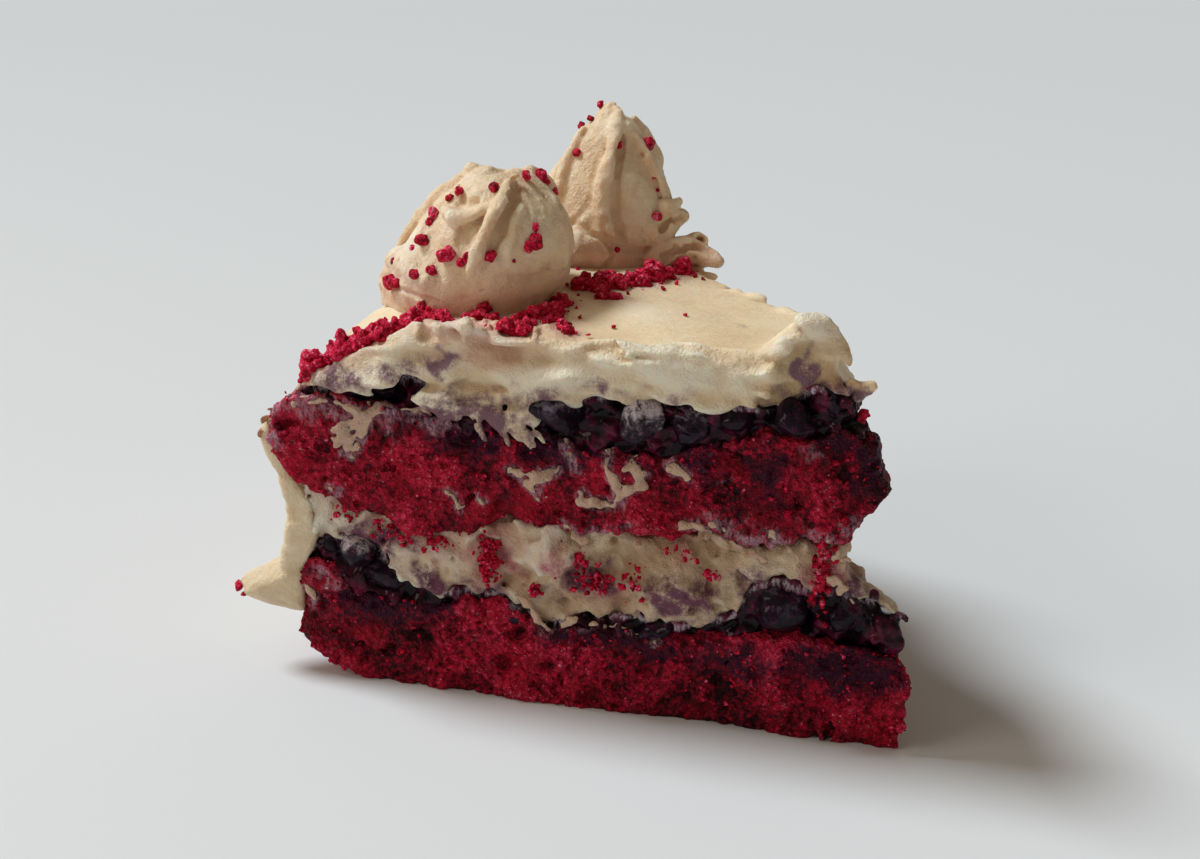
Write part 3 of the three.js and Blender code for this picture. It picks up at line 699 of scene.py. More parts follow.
def packed(grid, field, shown, sizes, seed):
    """Grains packed side by side near the surface; sizes is (cell, height) pairs, evenly up and down."""
    band = (np.abs(field) < 2.4) & (shown > 0.02)
    at = grid.points(band)
    grain = np.zeros(grid.shape, np.float32)
    grain[band] = sum(high * (granules(at, cell, seed + k) - 0.5) for k, (cell, high) in enumerate(sizes))
    return grain


def crumbly(grid, field, body, seed):
    """Open crumb: swells, packed grains of two sizes and pits. Returns the field and the relief."""
    shown = ease(body, -3.4, -1.2)
    rise = 0.3 * grid.noise(7.0, seed) + 0.3 * grid.noise(2.6, seed + 1)
    rise -= 1.0 * ease(grid.noise(1.9, seed + 2), 1.2, 2.1) + 0.6 * ease(grid.noise(1.2, seed + 3), 1.2, 2.1)
    rise = (rise + packed(grid, field, shown, [(1.7, 1.0), (1.0, 0.7)], seed + 4)) * shown
    return field - rise, rise


# Where juice, film and red crumbs show in the front cut: (x, z, half width, half height, amount).
SPONGE_JUICE = [
    (-98, 16, 9, 4.5, 1.0), (-88, 17, 3, 3, 0.9), (-12, 15, 12, 5.5, 1.0), (-30, 14, 10, 4.5, 0.8),
    (-58, 15, 6, 2.5, 0.7), (-46, 14, 8, 3, 0.7), (-80, 51, 9, 4.5, 0.85), (-64, 50, 8, 4, 0.8),
    (-40, 51, 6, 5, 0.7), (-9, 53, 5, 5, 0.9), (-27, 49, 4, 7, 0.7), (-50, 49, 7, 3, 0.5),
    (-93, 51, 6, 2.4, 0.5)]
SPONGE_FILM = [
    (-34, 40, 5, 2.6, 0.5), (-27, 37.5, 7, 2.2, 0.75), (-18, 38.5, 4.5, 3.5, 0.65), (-52, 37.6, 7, 1.6, 0.5),
    (-85, 53, 9, 2.2, 0.6), (-103, 53, 7, 2.6, 0.65), (-110, 53, 4, 2.4, 0.6), (-118, 47, 2.5, 5, 0.8),
    (-95, 51.4, 4, 2.6, 0.6), (-63, 17.5, 8, 1.6, 0.6), (-106, 20, 7, 1.6, 0.5), (-36, 47, 2, 1.5, 0.4),
    (-20, 54, 3, 1.6, 0.45), (-12, 41, 4, 3, 0.5)]
CREAM_JUICE = [
    (-98, 29, 7, 3.4, 0.9), (-87.5, 21, 4, 3.2, 1.0), (-78, 21.5, 7, 2.4, 0.6), (-58, 26, 5, 4.4, 0.85),
    (-41.5, 24.5, 7, 5, 0.85), (-30, 29, 5, 3, 0.7), (-13, 29.5, 6, 2, 0.8), (-66, 22, 3, 3, 0.5)]
CREAM_PINK = [
    (-94, 31, 5, 2.2, 0.8), (-76, 28, 4, 6, 0.85), (-64, 30, 2.2, 3.4, 0.75), (-17, 33, 3, 5, 0.85),
    (-42.5, 33.5, 3, 2, 0.5), (-86, 29, 6, 3, 0.4), (-57, 24, 5, 3, 0.5)]
ICING_JUICE = [
    (-104, 59.5, 6, 3.6, 0.75), (-93, 62, 5, 2.6, 0.6), (-85.2, 64.2, 2.6, 2.6, 0.85), (-80, 57, 8, 3.2, 0.7),
    (-68, 59, 7, 3.4, 0.65), (-56, 62.5, 6, 1.8, 0.55), (-22.5, 68, 1.5, 6.5, 0.95),
    (-18.6, 64.5, 4.5, 2.8, 0.7), (-27, 63, 4, 2.4, 0.5), (-112, 55.5, 4, 2, 0.6), (-44, 62.4, 5, 1.4, 0.5),
    (-14, 66, 2.6, 3.4, 0.85)]


def spots(points, places, depth=9.0):
    """Soft patches in the front cut, with wandering outlines."""
    total = np.zeros(len(points))
    u, v, w = points[:, 0], points[:, 2], np.maximum(points[:, 1], 0)
    across = u + 1.3 * np.sin(v / 1.1 + 2 * np.sin(u / 2.3)) + 0.7 * np.sin(u / 0.9 + v / 1.7)
    up = v + 0.9 * np.sin(u / 1.3 + 2 * np.sin(v / 2.1)) + 0.5 * np.sin(v / 0.7 - u / 1.1)
    for x, z, wide, high, amount in places:
        away = ((across - x) / wide) ** 2 + ((up - z) / high) ** 2 + (w / depth) ** 2
        total = np.maximum(total, amount * np.exp(-0.9 * away))
    return total


def near_seam(points, name, reach):
    """1 at a seam, fading out over the reach above and below it."""
    return np.exp(-np.abs(points[:, 2] - seam(name, points[:, 0], points[:, 1])) / reach)


def behind(points):
    """1 on the back cut and the round side, 0 on the front cut."""
    return ease(points[:, 1], 6, 14)


def near_smears(points):
    """1 under the strokes of cream, fading out within about 2 mm of them in the front cut."""
    near = np.full(len(points), 9.0)
    for stroke in SMEARS:
        for x, z, radius in curve_through(stroke, 4):
            np.minimum(near, np.hypot(points[:, 0] - x, points[:, 2] - z) - radius, out=near)
    return np.exp(-((np.maximum(near, 0) / 1.0) ** 2)) * (1 - behind(points))


def sponge(name, seed, juices):
    """A red sponge; juices is (seam, amount, reach) rows. Returns its points."""
    grid = layer_grid(name)
    field, body = layer_field(name, grid)
    field, rise = crumbly(grid, field, body, seed)
    if name == "sponge_lower":
        crack = [(-46.5, -1, -1, 0.7), (-46, -0.5, 6, 0.6), (-45.5, -0.5, 12, 0.3)]
        strand(field, grid, crack, 0.4, carve=True)
        field = np.maximum(field, -grid.z)
    obj, points = skin(f"{name}_crumb", grid, field, 0.02)
    patchy = np.clip(0.6 + 0.35 * grid.sample(grid.noise(6.0, seed + 8), points), 0.15, 1)
    stain = sum(amount * near_seam(points, where, reach) for where, amount, reach in juices)
    stain *= patchy + (1 - patchy) * behind(points)
    film = 0.45 * behind(points) * near_seam(points, "cream_top", 1.2) if name == "sponge_upper" else 0.0
    film = np.maximum(np.maximum(film, 0.6 * near_smears(points)), spots(points, SPONGE_FILM))
    juice = np.maximum(stain, spots(points, SPONGE_JUICE))
    # The relief picks the crumb's tint: painted shade in the pits, painted highlights on the grain tops.
    paint(obj, relief=0.5 + 0.27 * grid.sample(rise, points), juice=juice, film=film)
    dress(obj, MATERIALS["sponge"], "sponge", name)
    return points


def cream_layer():
    """The middle cream, with the fold and the bulges that its front cut shows."""
    name = "cream_middle"
    grid = layer_grid(name)
    field, body = layer_field(name, grid)
    shown = ease(body, -4.0, -1.6)
    rise = 0.4 * grid.noise(7.5, 31) + 0.45 * (1 - np.abs(grid.noise(3.4, 32))) + 0.34 * grid.noise(1.7, 33)
    rise += 0.24 * grid.noise(0.95, 34) - 1.0 * ease(grid.noise(1.3, 35), 1.4, 2.2)
    lump(field, grid, (-65, 1.5, 30), (5.5, 3.6, 4.4), 1.5)
    fold = [(-70, -0.6, 27.5, 0.5), (-66.5, -2.2, 33, 0.6), (-61, -2.2, 34, 0.6), (-60, -1, 28, 0.5),
            (-63.5, -0.8, 26, 0.5)]
    strand(field, grid, fold, 0.6, carve=True)
    lump(field, grid, (-42, 1.2, 25), (7, 3.2, 4.6), 1.5)
    lump(field, grid, (-87.5, -0.6, 21), (1.6, 2.2, 1.6), 0.6, carve=True)
    lump(field, grid, (-63, -1, 19.5), (1.9, 2, 1.9), 0.5, carve=True)
    field = field - (rise - 0.4) * shown
    obj, points = skin("middle_cream", grid, field, 0.015)
    stain = (0.35 + 0.5 * behind(points)) * near_seam(points, "lower_jam_top", 2.4)
    juice = np.maximum(stain, spots(points, CREAM_JUICE))
    pink = np.maximum(spots(points, CREAM_PINK), 0.3 * near_seam(points, "cream_top", 0.9))
    # The relief picks the cream's tint: painted shade in low places, a lighter tint on raised ones.
    paint(obj, relief=0.45 + 0.28 * grid.sample(rise, points), juice=juice, pink=pink, film=0.0, rough=1.0)
    dress(obj, MATERIALS["cut_cream"], "cream", name)


def jam_layer(name, seed):
    """Crushed berries in their syrup: skins packed side by side, creased and wet."""
    grid = layer_grid(name)
    field, body = layer_field(name, grid)
    shown = ease(body, -4.5, -2.0)
    rise = 0.7 * (1 - np.abs(grid.noise(2.0, seed, (1.6, 1.6, 0.9)))) + 0.3 * grid.noise(1.0, seed + 1) - 0.5
    rise = (rise + packed(grid, field, shown, [(5.0, 2.4), (2.1, 1.0)], seed + 2)) * shown
    if name == "jam_upper":
        lump(field, grid, (-94.5, -1.5, 57.2), (6, 6.5, 3), 1.0, carve=True)
        lump(field, grid, (-91.4, -1.5, 58.6), (3.6, 6.5, 3), 0.5, carve=True)
    obj, points = skin(f"{name}_gloss", grid, field - rise, 0.02)
    over = near_seam(points, LAYERS[name]["above"], 1.8)
    paint(obj, relief=0.45 + 0.2 * grid.sample(rise, points), film=0.62 * over)
    dress(obj, MATERIALS["jam"], "jam", name)


# ---------------------------------------------------------------- icing
STREAK_COUNT = 26
ROUGH_LUMPS = 64
FAR_FROM_HEAPS = 99.0


def knife_marks(grid, on_cut, on_top, on_side):
    """How far the icing stands out: ripples on the cuts, waves on top, palette strokes round the side."""
    ridges = 1 - np.abs(grid.noise(2.4, 42, (2.6, 1, 0.9)))
    broad, fine = grid.noise(4.5, 41, (2.2, 1, 1)), grid.noise(1.2, 43, (2.0, 1, 0.9))
    rise = on_cut * (0.4 * broad + 0.5 * ridges + 0.34 * fine)
    rise *= 0.3 + 0.7 * ease(grid.z, 52, 57)
    rise += on_top * (0.18 * grid.noise(9.0, 44) + 0.06 * grid.noise(2.6, 45, (4.0, 1, 1)))
    rise += on_side * (0.26 * grid.noise(8, 46, (1, 1, 0.7)) + 0.18 * grid.noise(2.6, 47, (2.5, 2.5, 1)))
    return rise


def coat(grid):
    """The icing over the top and down the round side, cut out over the layers it covers."""
    x, y, z = grid.x, grid.y, grid.z
    body = slice_field(grid, COAT_RADIUS, -0.6, edge=2.2)
    field = soft_max(body, (z - icing_height(x, y)) * 0.8, 3.0)
    hem = COAT_HEM + np.sin(x / 5 + y / 7) + 0.5 * np.sin(x / 2.3 - y / 1.9)
    field = soft_max(field, hem - z, 1.6)
    # the ear that sticks out low on the left
    lump(field, grid, (-116.6, 4, 16.2), (5.4, 4.2, 5.2), 2.2)
    lump(field, grid, (-121.4, 2.6, 15.3), (4.4, 3, 2.9), 2.2)
    strand(field, grid, [(-113, 1.5, 20, 1.6), (-118, 0.4, 17.6, 1.4), (-123.5, 0.6, 15.2, 1.0)], 1.4)
    core = np.maximum(np.sqrt(x * x + y * y) - lookup(LAYER_RADIUS, z), z - torn_seam("upper_jam_top", grid))
    field = soft_max(field, -core, 0.8)
    # the coat closes over the rounded shoulder behind the front cut
    for at_x, at_z in ((-115.9, 50.5), (-114, 53), (-112.3, 55.4)):
        rib = [(at_x, 5, at_z, 1.5), (at_x + 0.1, 8.5, at_z, 2.0), (at_x + 0.5, 12.5, at_z, 1.6)]
        strand(field, grid, rib, 1.6)
    return field


def hollow_and_lick(field, grid):
    """The hollow over the berry in the front cut, and the folds of the torn lick at the tip."""
    lump(field, grid, (-94.5, -0.5, 57.6), (6.2, 5.5, 3.3), 0.6, carve=True)
    lump(field, grid, (-91.4, -0.8, 59.2), (3.5, 6, 3.1), 0.4, carve=True)
    fold = [(-21, -0.4, 75.2, 0.4), (-21.6, -1.2, 72, 0.8), (-22.8, -1.5, 68.5, 0.9), (-22.2, -1.5, 66, 0.8),
            (-23, -1.4, 63, 0.5)]
    left = [(-23.2, 0.4, 76.4, 0.9), (-25.2, 0.2, 73, 1.1), (-27.2, -0.4, 69, 1.1), (-28, -0.8, 64.5, 0.7)]
    right = [(-20, 1.5, 76.6, 0.8), (-17, 2.2, 73.6, 1.1), (-15.4, 1.8, 70, 1.1), (-14.8, 1.2, 66, 0.9)]
    strand(field, grid, fold, 0.9, carve=True)
    strand(field, grid, left, 1.6)
    strand(field, grid, right, 1.6)
    for centre, half in (((-12.8, 3.2, 65.6), (1.7, 1.5, 1.3)), ((-11.6, 3, 66.4), (1.1, 1.2, 0.9)),
                         ((-13.6, 3.4, 64.4), (1.2, 1.2, 1.3)), ((-14.6, 3.2, 66.2), (1.4, 1.2, 1.0))):
        lump(field, grid, centre, half, 0.3)
    lump(field, grid, (-20.5, -2.2, 70.5), (5.2, 2.4, 6.4), 1.4, carve=True)


def dragged_edge(field, grid):
    """Streaks that the knife dragged down over the sponge, and rough lumps along the cut's upper edge."""
    draw = np.random.default_rng(40)
    for k in range(STREAK_COUNT):
        head = -88.5 + 0.75 * k + draw.uniform(-0.5, 0.5)
        foot, low = head + draw.uniform(1.6, 5.4), 54.2 - 0.16 * k + draw.uniform(-1.8, 1.8)
        thick = draw.uniform(0.35, 0.85)
        middle = ((head + foot) / 2 - 0.4, -0.4, (58 + low) / 2, thick * 0.6)
        strand(field, grid, [(head, 0.3, 58.6, thick), middle, (foot, -0.5, low, 0.14)], 0.45)
    for _ in range(ROUGH_LUMPS):
        at = np.array([draw.uniform(-91, -67), draw.uniform(0.2, 7), 0.0])
        at[2] = ground(at[0], at[1]) - draw.uniform(0.1, 0.7)
        lump(field, grid, at, draw.uniform(0.5, 1.25, 3), 0.35)


def icing_stains(grid, points):
    """Juice and pink dust on the icing, and how smooth it was spread, per point."""
    x, y, z = points.T
    back_cut = ease(past_back(x, y), -3, -0.8)
    stain = 0.55 * back_cut * near_seam(points, "upper_jam_top", 1.6)
    stain = np.maximum(spots(points, ICING_JUICE, 6.0), stain)
    speck = np.exp(-(((x + 36.2) / 1.3) ** 2 + ((y - 17.2) / 1.0) ** 2)) * (z > 67)
    near = np.full(len(points), FAR_FROM_HEAPS, np.float32)
    for row in HEAP_CLUMPS:
        np.minimum(near, np.hypot(x - row[0], y - row[1]), out=near)
    dusted = np.exp(-(((x + 79) / 10) ** 2) - ((y - 3) / 4.5) ** 2) * ease(z, 62, 66)
    pink = np.maximum(0.6 * np.exp(-((near / 2.2) ** 2)) * (z > 52), 0.5 * dusted)
    # the thin veil beside the hollow lets the dark jam through between its streaks
    veil = ease(x, -92, -87) * ease(-x, 62, 74) * ease(-z, -60.5, -55) * (y < 5)
    streaks = grid.sample(grid.noise(1.5, 48, (1, 1, 6)), points)
    stain = np.maximum(stain, veil * np.clip(0.85 + 0.3 * streaks, 0, 1.1))
    smooth = ease(z, 63, 67) * ease(y, 0.5, 2.5) * (1 - ease(near, 3.5, 2))
    return np.maximum(stain, speck), pink, smooth


def icing():
    grid = Grid((-131, -4, 9), (-8, 93, 82), VOXEL["icing"])
    x, y, z = grid.x, grid.y, grid.z
    field = coat(grid)
    hollow_and_lick(field, grid)
    dragged_edge(field, grid)
    on_cut = ease(-y, -4, -0.6) + ease(past_back(x, y), -4, -0.6)
    on_top = ease(z, 60, 67) * (1 - on_cut)
    on_side = ease(np.sqrt(x * x + y * y) - lookup(COAT_RADIUS, z), -2.6, -1.0) * (1 - on_top) * (1 - on_cut)
    rise = knife_marks(grid, on_cut, on_top, on_side)
    obj, points = skin("icing_spread", grid, field - rise, 0.015)
    juice, pink, smooth = icing_stains(grid, points)
    # The relief picks the icing's tint: painted shade in low places, a lighter tint on raised ones.
    relief_left = 0.5 + 0.45 * grid.sample(rise, points)
    paint(obj, relief=relief_left, juice=juice, pink=pink, film=0.0, rough=1 - 0.8 * smooth)
    dress(obj, MATERIALS["icing"], "cream", "icing")


# ---------------------------------------------------------------- swirls
class Swirl:
    """A piped swirl: where its middle runs, how wide it is, and places on its surface."""

    def __init__(self, name):
        self.spec = SWIRLS[name]
        turn = math.radians(self.spec["angle"])
        self.centre = np.array([-SWIRL_RING * math.cos(turn), SWIRL_RING * math.sin(turn)])
        seen = np.array(CAMERA["at"][:2]) - self.centre
        self.facing = math.atan2(seen[1], seen[0])
        self.reach = max(width for _, width in self.spec["width"])

    def axis(self, share):
        return self.centre[0] + rounded(self.spec["sway"], share), self.centre[1] + self.spec["lean"] * share

    def place(self, degrees, share, lift=0.0):
        """A point on the surface, by its turn from the camera's side and its share of the height."""
        turn = self.facing + math.radians(degrees)
        middle = self.axis(share)
        away = float(rounded(self.spec["width"], share)) + lift
        high = ICING_TOP + self.spec["height"] * share
        return np.array([middle[0] + away * math.cos(turn), middle[1] + away * math.sin(turn), high])

    def field(self, grid):
        share = (grid.z - ICING_TOP) / self.spec["height"]
        ax, ay = self.axis(share)
        wide = rounded(self.spec["width"], share)
        steep = np.abs(np.gradient(wide.ravel(), grid.step)).reshape(share.shape)
        body = (np.hypot(grid.x - ax, grid.y - ay) - wide) / np.sqrt(1 + steep**2)
        cap = (share - 1) * self.spec["height"]
        return soft_max(body, cap, 2.0).astype(np.float32)


# Folds: (kind, [(degrees, share, radius, lift)...]); a roll stands out, a groove cuts in.
FOLDS = {
    "swirl_low": [
        ("roll", [(28, 0.97, 1.3, 0.5), (6, 0.9, 1.5, 0.9), (-4, 0.8, 1.5, 1.0), (-9, 0.67, 1.4, 0.8),
                  (-12, 0.5, 1.2, 0.5), (-12, 0.36, 0.9, 0)]),
        ("groove", [(26, 0.93, 1.0, 0.1), (13, 0.86, 1.5, 0.2), (4, 0.76, 1.5, 0.2), (1, 0.62, 1.2, 0.2),
                    (-3, 0.48, 0.9, 0.3), (-4, 0.36, 0.6, 0.4)]),
        ("groove", [(-16, 0.8, 1.2, 0.6), (-26, 0.68, 2.0, 0.8), (-25, 0.55, 1.7, 0.8),
                    (-20, 0.44, 0.9, 0.6)]),
        ("roll", [(-56, 0.73, 1.0, 0.1), (-38, 0.7, 1.1, 0.3), (-24, 0.74, 1.0, 0.5), (-12, 0.8, 0.9, 0.5)]),
        ("groove", [(-58, 0.84, 1.1, 0.4), (-42, 0.79, 1.5, 0.2), (-30, 0.82, 1.2, 0.3)]),
        ("groove", [(-80, 0.86, 0.9, 0.4), (-74, 0.66, 1.2, 0.6), (-60, 0.5, 0.8, 0.6)]),
        ("roll", [(20, 0.78, 0.7, -0.2), (12, 0.66, 0.7, -0.2), (9, 0.5, 0.6, -0.3)]),
        ("groove", [(12, 0.36, 0.4, 0.2), (17, 0.31, 0.7, 0.2), (32, 0.27, 0.8, 0.2), (50, 0.26, 0.8, 0.2),
                    (68, 0.26, 0.8, 0.2), (88, 0.3, 0.6, 0.3)]),
        ("groove", [(-88, 0.12, 0.8, 0.3), (-58, 0.15, 0.8, 0.3), (-38, 0.13, 0.7, 0.3),
                    (-20, 0.1, 0.5, 0.3)]),
        ("roll", [(-86, 0.26, 2.4, -1.2), (-56, 0.28, 2.4, -1.4), (-36, 0.24, 2.0, -1.2)]),
        ("roll", [(112, 0.95, 1.2, 0.2), (122, 0.78, 1.6, 0.3), (133, 0.55, 1.7, 0.2), (138, 0.3, 1.3, 0.0)]),
        ("groove", [(126, 0.9, 0.8, 0.4), (138, 0.74, 1.2, 0.5), (148, 0.52, 1.1, 0.5),
                    (152, 0.3, 0.7, 0.4)]),
        ("roll", [(-118, 0.94, 1.2, 0.2), (-112, 0.76, 1.5, 0.3), (-104, 0.55, 1.4, 0.2),
                  (-100, 0.3, 1.0, 0.0)]),
        ("groove", [(-134, 0.9, 0.8, 0.4), (-128, 0.72, 1.2, 0.5), (-120, 0.5, 1.0, 0.5),
                    (-116, 0.28, 0.7, 0.4)]),
        ("groove", [(168, 0.9, 0.8, 0.4), (176, 0.7, 1.1, 0.5), (184, 0.46, 0.9, 0.5),
                    (186, 0.26, 0.6, 0.4)]),
        ("groove", [(96, 0.16, 0.5, 0.3), (130, 0.18, 0.8, 0.3), (170, 0.15, 0.8, 0.3),
                    (206, 0.17, 0.6, 0.3)]),
    ],
    "swirl_tall": [
        ("roll", [(30, 0.97, 0.9, 0.2), (16, 0.9, 1.1, 0.5), (4, 0.79, 1.3, 0.6), (-2, 0.68, 1.4, 0.7),
                  (-6, 0.55, 1.5, 0.8), (-5, 0.44, 1.5, 0.7), (0, 0.34, 1.4, 0.5), (8, 0.25, 1.0, 0.3)]),
        ("groove", [(30, 0.93, 0.7, 0.2), (20, 0.85, 1.0, 0.3), (13, 0.76, 1.3, 0.4), (8, 0.66, 1.3, 0.4),
                    (7, 0.54, 1.3, 0.3), (8, 0.43, 1.3, 0.3), (11, 0.33, 1.1, 0.4), (17, 0.22, 0.9, 0.3),
                    (19, 0.14, 0.6, 0.3)]),
        ("groove", [(-16, 0.7, 0.5, 0.4), (-15, 0.5, 0.8, 0.6), (-20, 0.36, 0.9, 0.5),
                    (-30, 0.27, 0.9, 0.4), (-42, 0.2, 0.7, 0.4)]),
        ("roll", [(-30, 0.17, 3.2, -2.0), (-12, 0.16, 3.6, -2.2), (2, 0.13, 3.0, -1.8)]),
        ("groove", [(-22, 0.3, 0.6, 0.3), (-8, 0.24, 0.8, 0.3), (4, 0.2, 0.8, 0.3), (8, 0.12, 0.7, 0.3),
                    (4, 0.04, 0.6, 0.3)]),
        ("groove", [(15, 0.16, 0.7, 0.3), (32, 0.125, 0.9, 0.2), (50, 0.13, 0.8, 0.2), (68, 0.15, 0.7, 0.3)]),
        ("roll", [(36, 0.87, 0.8, 0.2), (52, 0.68, 1.1, 0.3), (62, 0.5, 1.2, 0.3), (68, 0.32, 1.0, 0.2)]),
        ("groove", [(54, 0.55, 0.6, 0.5), (56, 0.45, 0.8, 0.5), (60, 0.36, 0.8, 0.5), (66, 0.26, 0.6, 0.4)]),
        ("groove", [(86, 0.8, 0.8, 0.5), (92, 0.6, 1.2, 0.6), (96, 0.4, 1.1, 0.6), (98, 0.2, 0.8, 0.4)]),
        ("roll", [(110, 0.88, 0.9, 0.2), (118, 0.66, 1.4, 0.3), (124, 0.42, 1.5, 0.2), (126, 0.2, 1.1, 0.0)]),
        ("groove", [(134, 0.84, 0.8, 0.5), (142, 0.62, 1.2, 0.6), (148, 0.4, 1.1, 0.6),
                    (150, 0.18, 0.8, 0.4)]),
        ("roll", [(168, 0.88, 0.9, 0.2), (176, 0.66, 1.3, 0.3), (182, 0.42, 1.4, 0.2), (184, 0.2, 1.0, 0.0)]),
        ("groove", [(198, 0.84, 0.8, 0.5), (206, 0.62, 1.2, 0.6), (212, 0.4, 1.1, 0.6),
                    (214, 0.18, 0.8, 0.4)]),
        ("groove", [(-84, 0.82, 0.7, 0.5), (-78, 0.62, 1.1, 0.6), (-72, 0.42, 1.0, 0.6),
                    (-70, 0.22, 0.7, 0.4)]),
        ("roll", [(-62, 0.84, 0.8, 0.2), (-56, 0.64, 1.2, 0.3), (-50, 0.44, 1.2, 0.2)]),
    ],
}
SKIRT = [  # the torn edge of the tall swirl: x, y, z, radius
    [(-58.5, 52.5, 76.5, 3.0), (-55, 55, 79, 2.2), (-53.4, 56, 79.6, 1.4)],
    [(-57, 50, 72, 2.6), (-52, 53, 73.6, 2.8), (-47.6, 52, 73, 1.9), (-45.4, 51, 72.4, 1.2)],
    [(-54, 57, 72, 3.0), (-50.5, 55.4, 74.8, 2.0), (-48.4, 54, 75.6, 1.1)],
    [(-56.4, 54, 81.5, 1.6), (-54.4, 56, 82.4, 0.7)],
]


LOW_TIP = [  # the curl on the low swirl's top, to its left and to its right
    [(-83.5, 25, 90.8, 2.4), (-85.6, 25.4, 92, 1.6), (-87.2, 25.6, 93.1, 0.8), (-88, 25.6, 93, 0.4)],
    [(-80, 26, 89.5, 3), (-77.6, 25.4, 90.4, 2)],
]
LOW_TIP_CREASE = [(-83, 21.6, 93.6, 0.7), (-81.6, 25, 93.6, 1.1), (-82, 30, 93.8, 0.8)]
SKIRT_REACH = 14  # how much further to the right the tall swirl's torn edge runs


def piped(name, seed):
    """A piped swirl with its folds, its tip and, on the tall one, its torn edge."""
    swirl = Swirl(name)
    reach = swirl.reach + 6
    far_right = SKIRT_REACH if name == "swirl_tall" else 0
    low = (swirl.centre[0] - reach, swirl.centre[1] - reach, ICING_TOP - 8)
    summit = ICING_TOP + swirl.spec["height"] + 3
    high = (swirl.centre[0] + reach + far_right, swirl.centre[1] + reach, summit)
    grid = Grid(low, high, VOXEL["swirl"])
    field = swirl.field(grid)
    for kind, path in FOLDS[name]:
        proud, blend = (0.2, 0.7) if kind == "roll" else (-0.1, 0.4)
        rows = [(*swirl.place(degrees, share, lift + proud), radius) for degrees, share, radius, lift in path]
        strand(field, grid, rows, blend, carve=kind == "groove")
    if name == "swirl_low":
        for path in LOW_TIP:
            strand(field, grid, path, 1.2)
        strand(field, grid, LOW_TIP_CREASE, 1.0, carve=True)
    else:
        x, y, z = swirl.place(0, 0.95, -2)
        peak = [(x, y, z, 1.6), (x + 0.3, y, z + 0.8, 1.0), (x + 0.9, y - 0.3, z + 1.4, 0.5)]
        strand(field, grid, peak, 1.2)
        for path in SKIRT:
            strand(field, grid, path, 0.8)
        for path in SKIRT[:3]:
            rows = [(x + 1.3, y - 1.2, z + 0.9, radius * 0.3) for x, y, z, radius in path]
            strand(field, grid, rows, 0.5, carve=True)
    field = np.maximum(field, icing_height(grid.x, grid.y) - 0.4 - grid.z)
    rise = 0.22 * grid.noise(4.0, seed) + 0.08 * grid.noise(1.7, seed + 1, (1, 1, 2.0))
    rise += 0.09 * grid.noise(0.85, seed + 2, (1, 1, 1.4)) - 0.4 * ease(grid.noise(1.0, seed + 3), 1.7, 2.4)
    obj, points = skin(f"{name}_folds", grid, field - rise, 0.008)
    hollow = np.clip(grid.sample(field, points), -1, 1)
    dust = np.exp(-((points[:, 2] - ICING_TOP - 2) / 4) ** 2)
    # The relief picks the cream's tint, so low and hollow places get painted shade and raised ones a lighter
    # tint.
    relief_left = 0.5 + 0.4 * grid.sample(rise, points) - 0.1 * hollow
    paint(obj, relief=relief_left, juice=0.0, pink=0.18 * dust, film=0.0, rough=1.0)
    dress(obj, MATERIALS["piped"], "cream", name)


# ---------------------------------------------------------------- berries
# How much cream is smeared over a berry, which also lends painted highlights, and which ones are bare of
# bloom and painted sheen.
FILM_AND_HIGHLIGHT = {"berry_front_upper_3": 0.75, "berry_front_upper_4": 0.4, "berry_front_lower_2": 0.6,
          "berry_front_lower_4": 0.45, "berry_front_upper_2": 0.35}
GLOSSY = {"berry_front_upper_6", "berry_front_upper_5", "berry_front_upper_1"}


BLOOM_AND_SHEEN, GLOSSY_BLOOM_AND_SHEEN = 0.5, 0.1
CROWN_CHANCE = 0.45


def crown_scar(field, grid, spot, crown, size, draw):
    """The star-shaped end of a berry: a dent with five knobs round it."""
    lump(field, grid, spot, np.full(3, 0.2 * size), 0.4, carve=True)
    side = np.cross(crown, (0, 0, 1.0))
    side /= np.linalg.norm(side)
    up = np.cross(side, crown)
    for k in range(5):
        turn = k * math.tau / 5 + draw.random()
        out = (side * math.cos(turn) + up * math.sin(turn)) * 0.3 * size
        lump(field, grid, spot + out, np.full(3, 0.13 * size), 0.4)


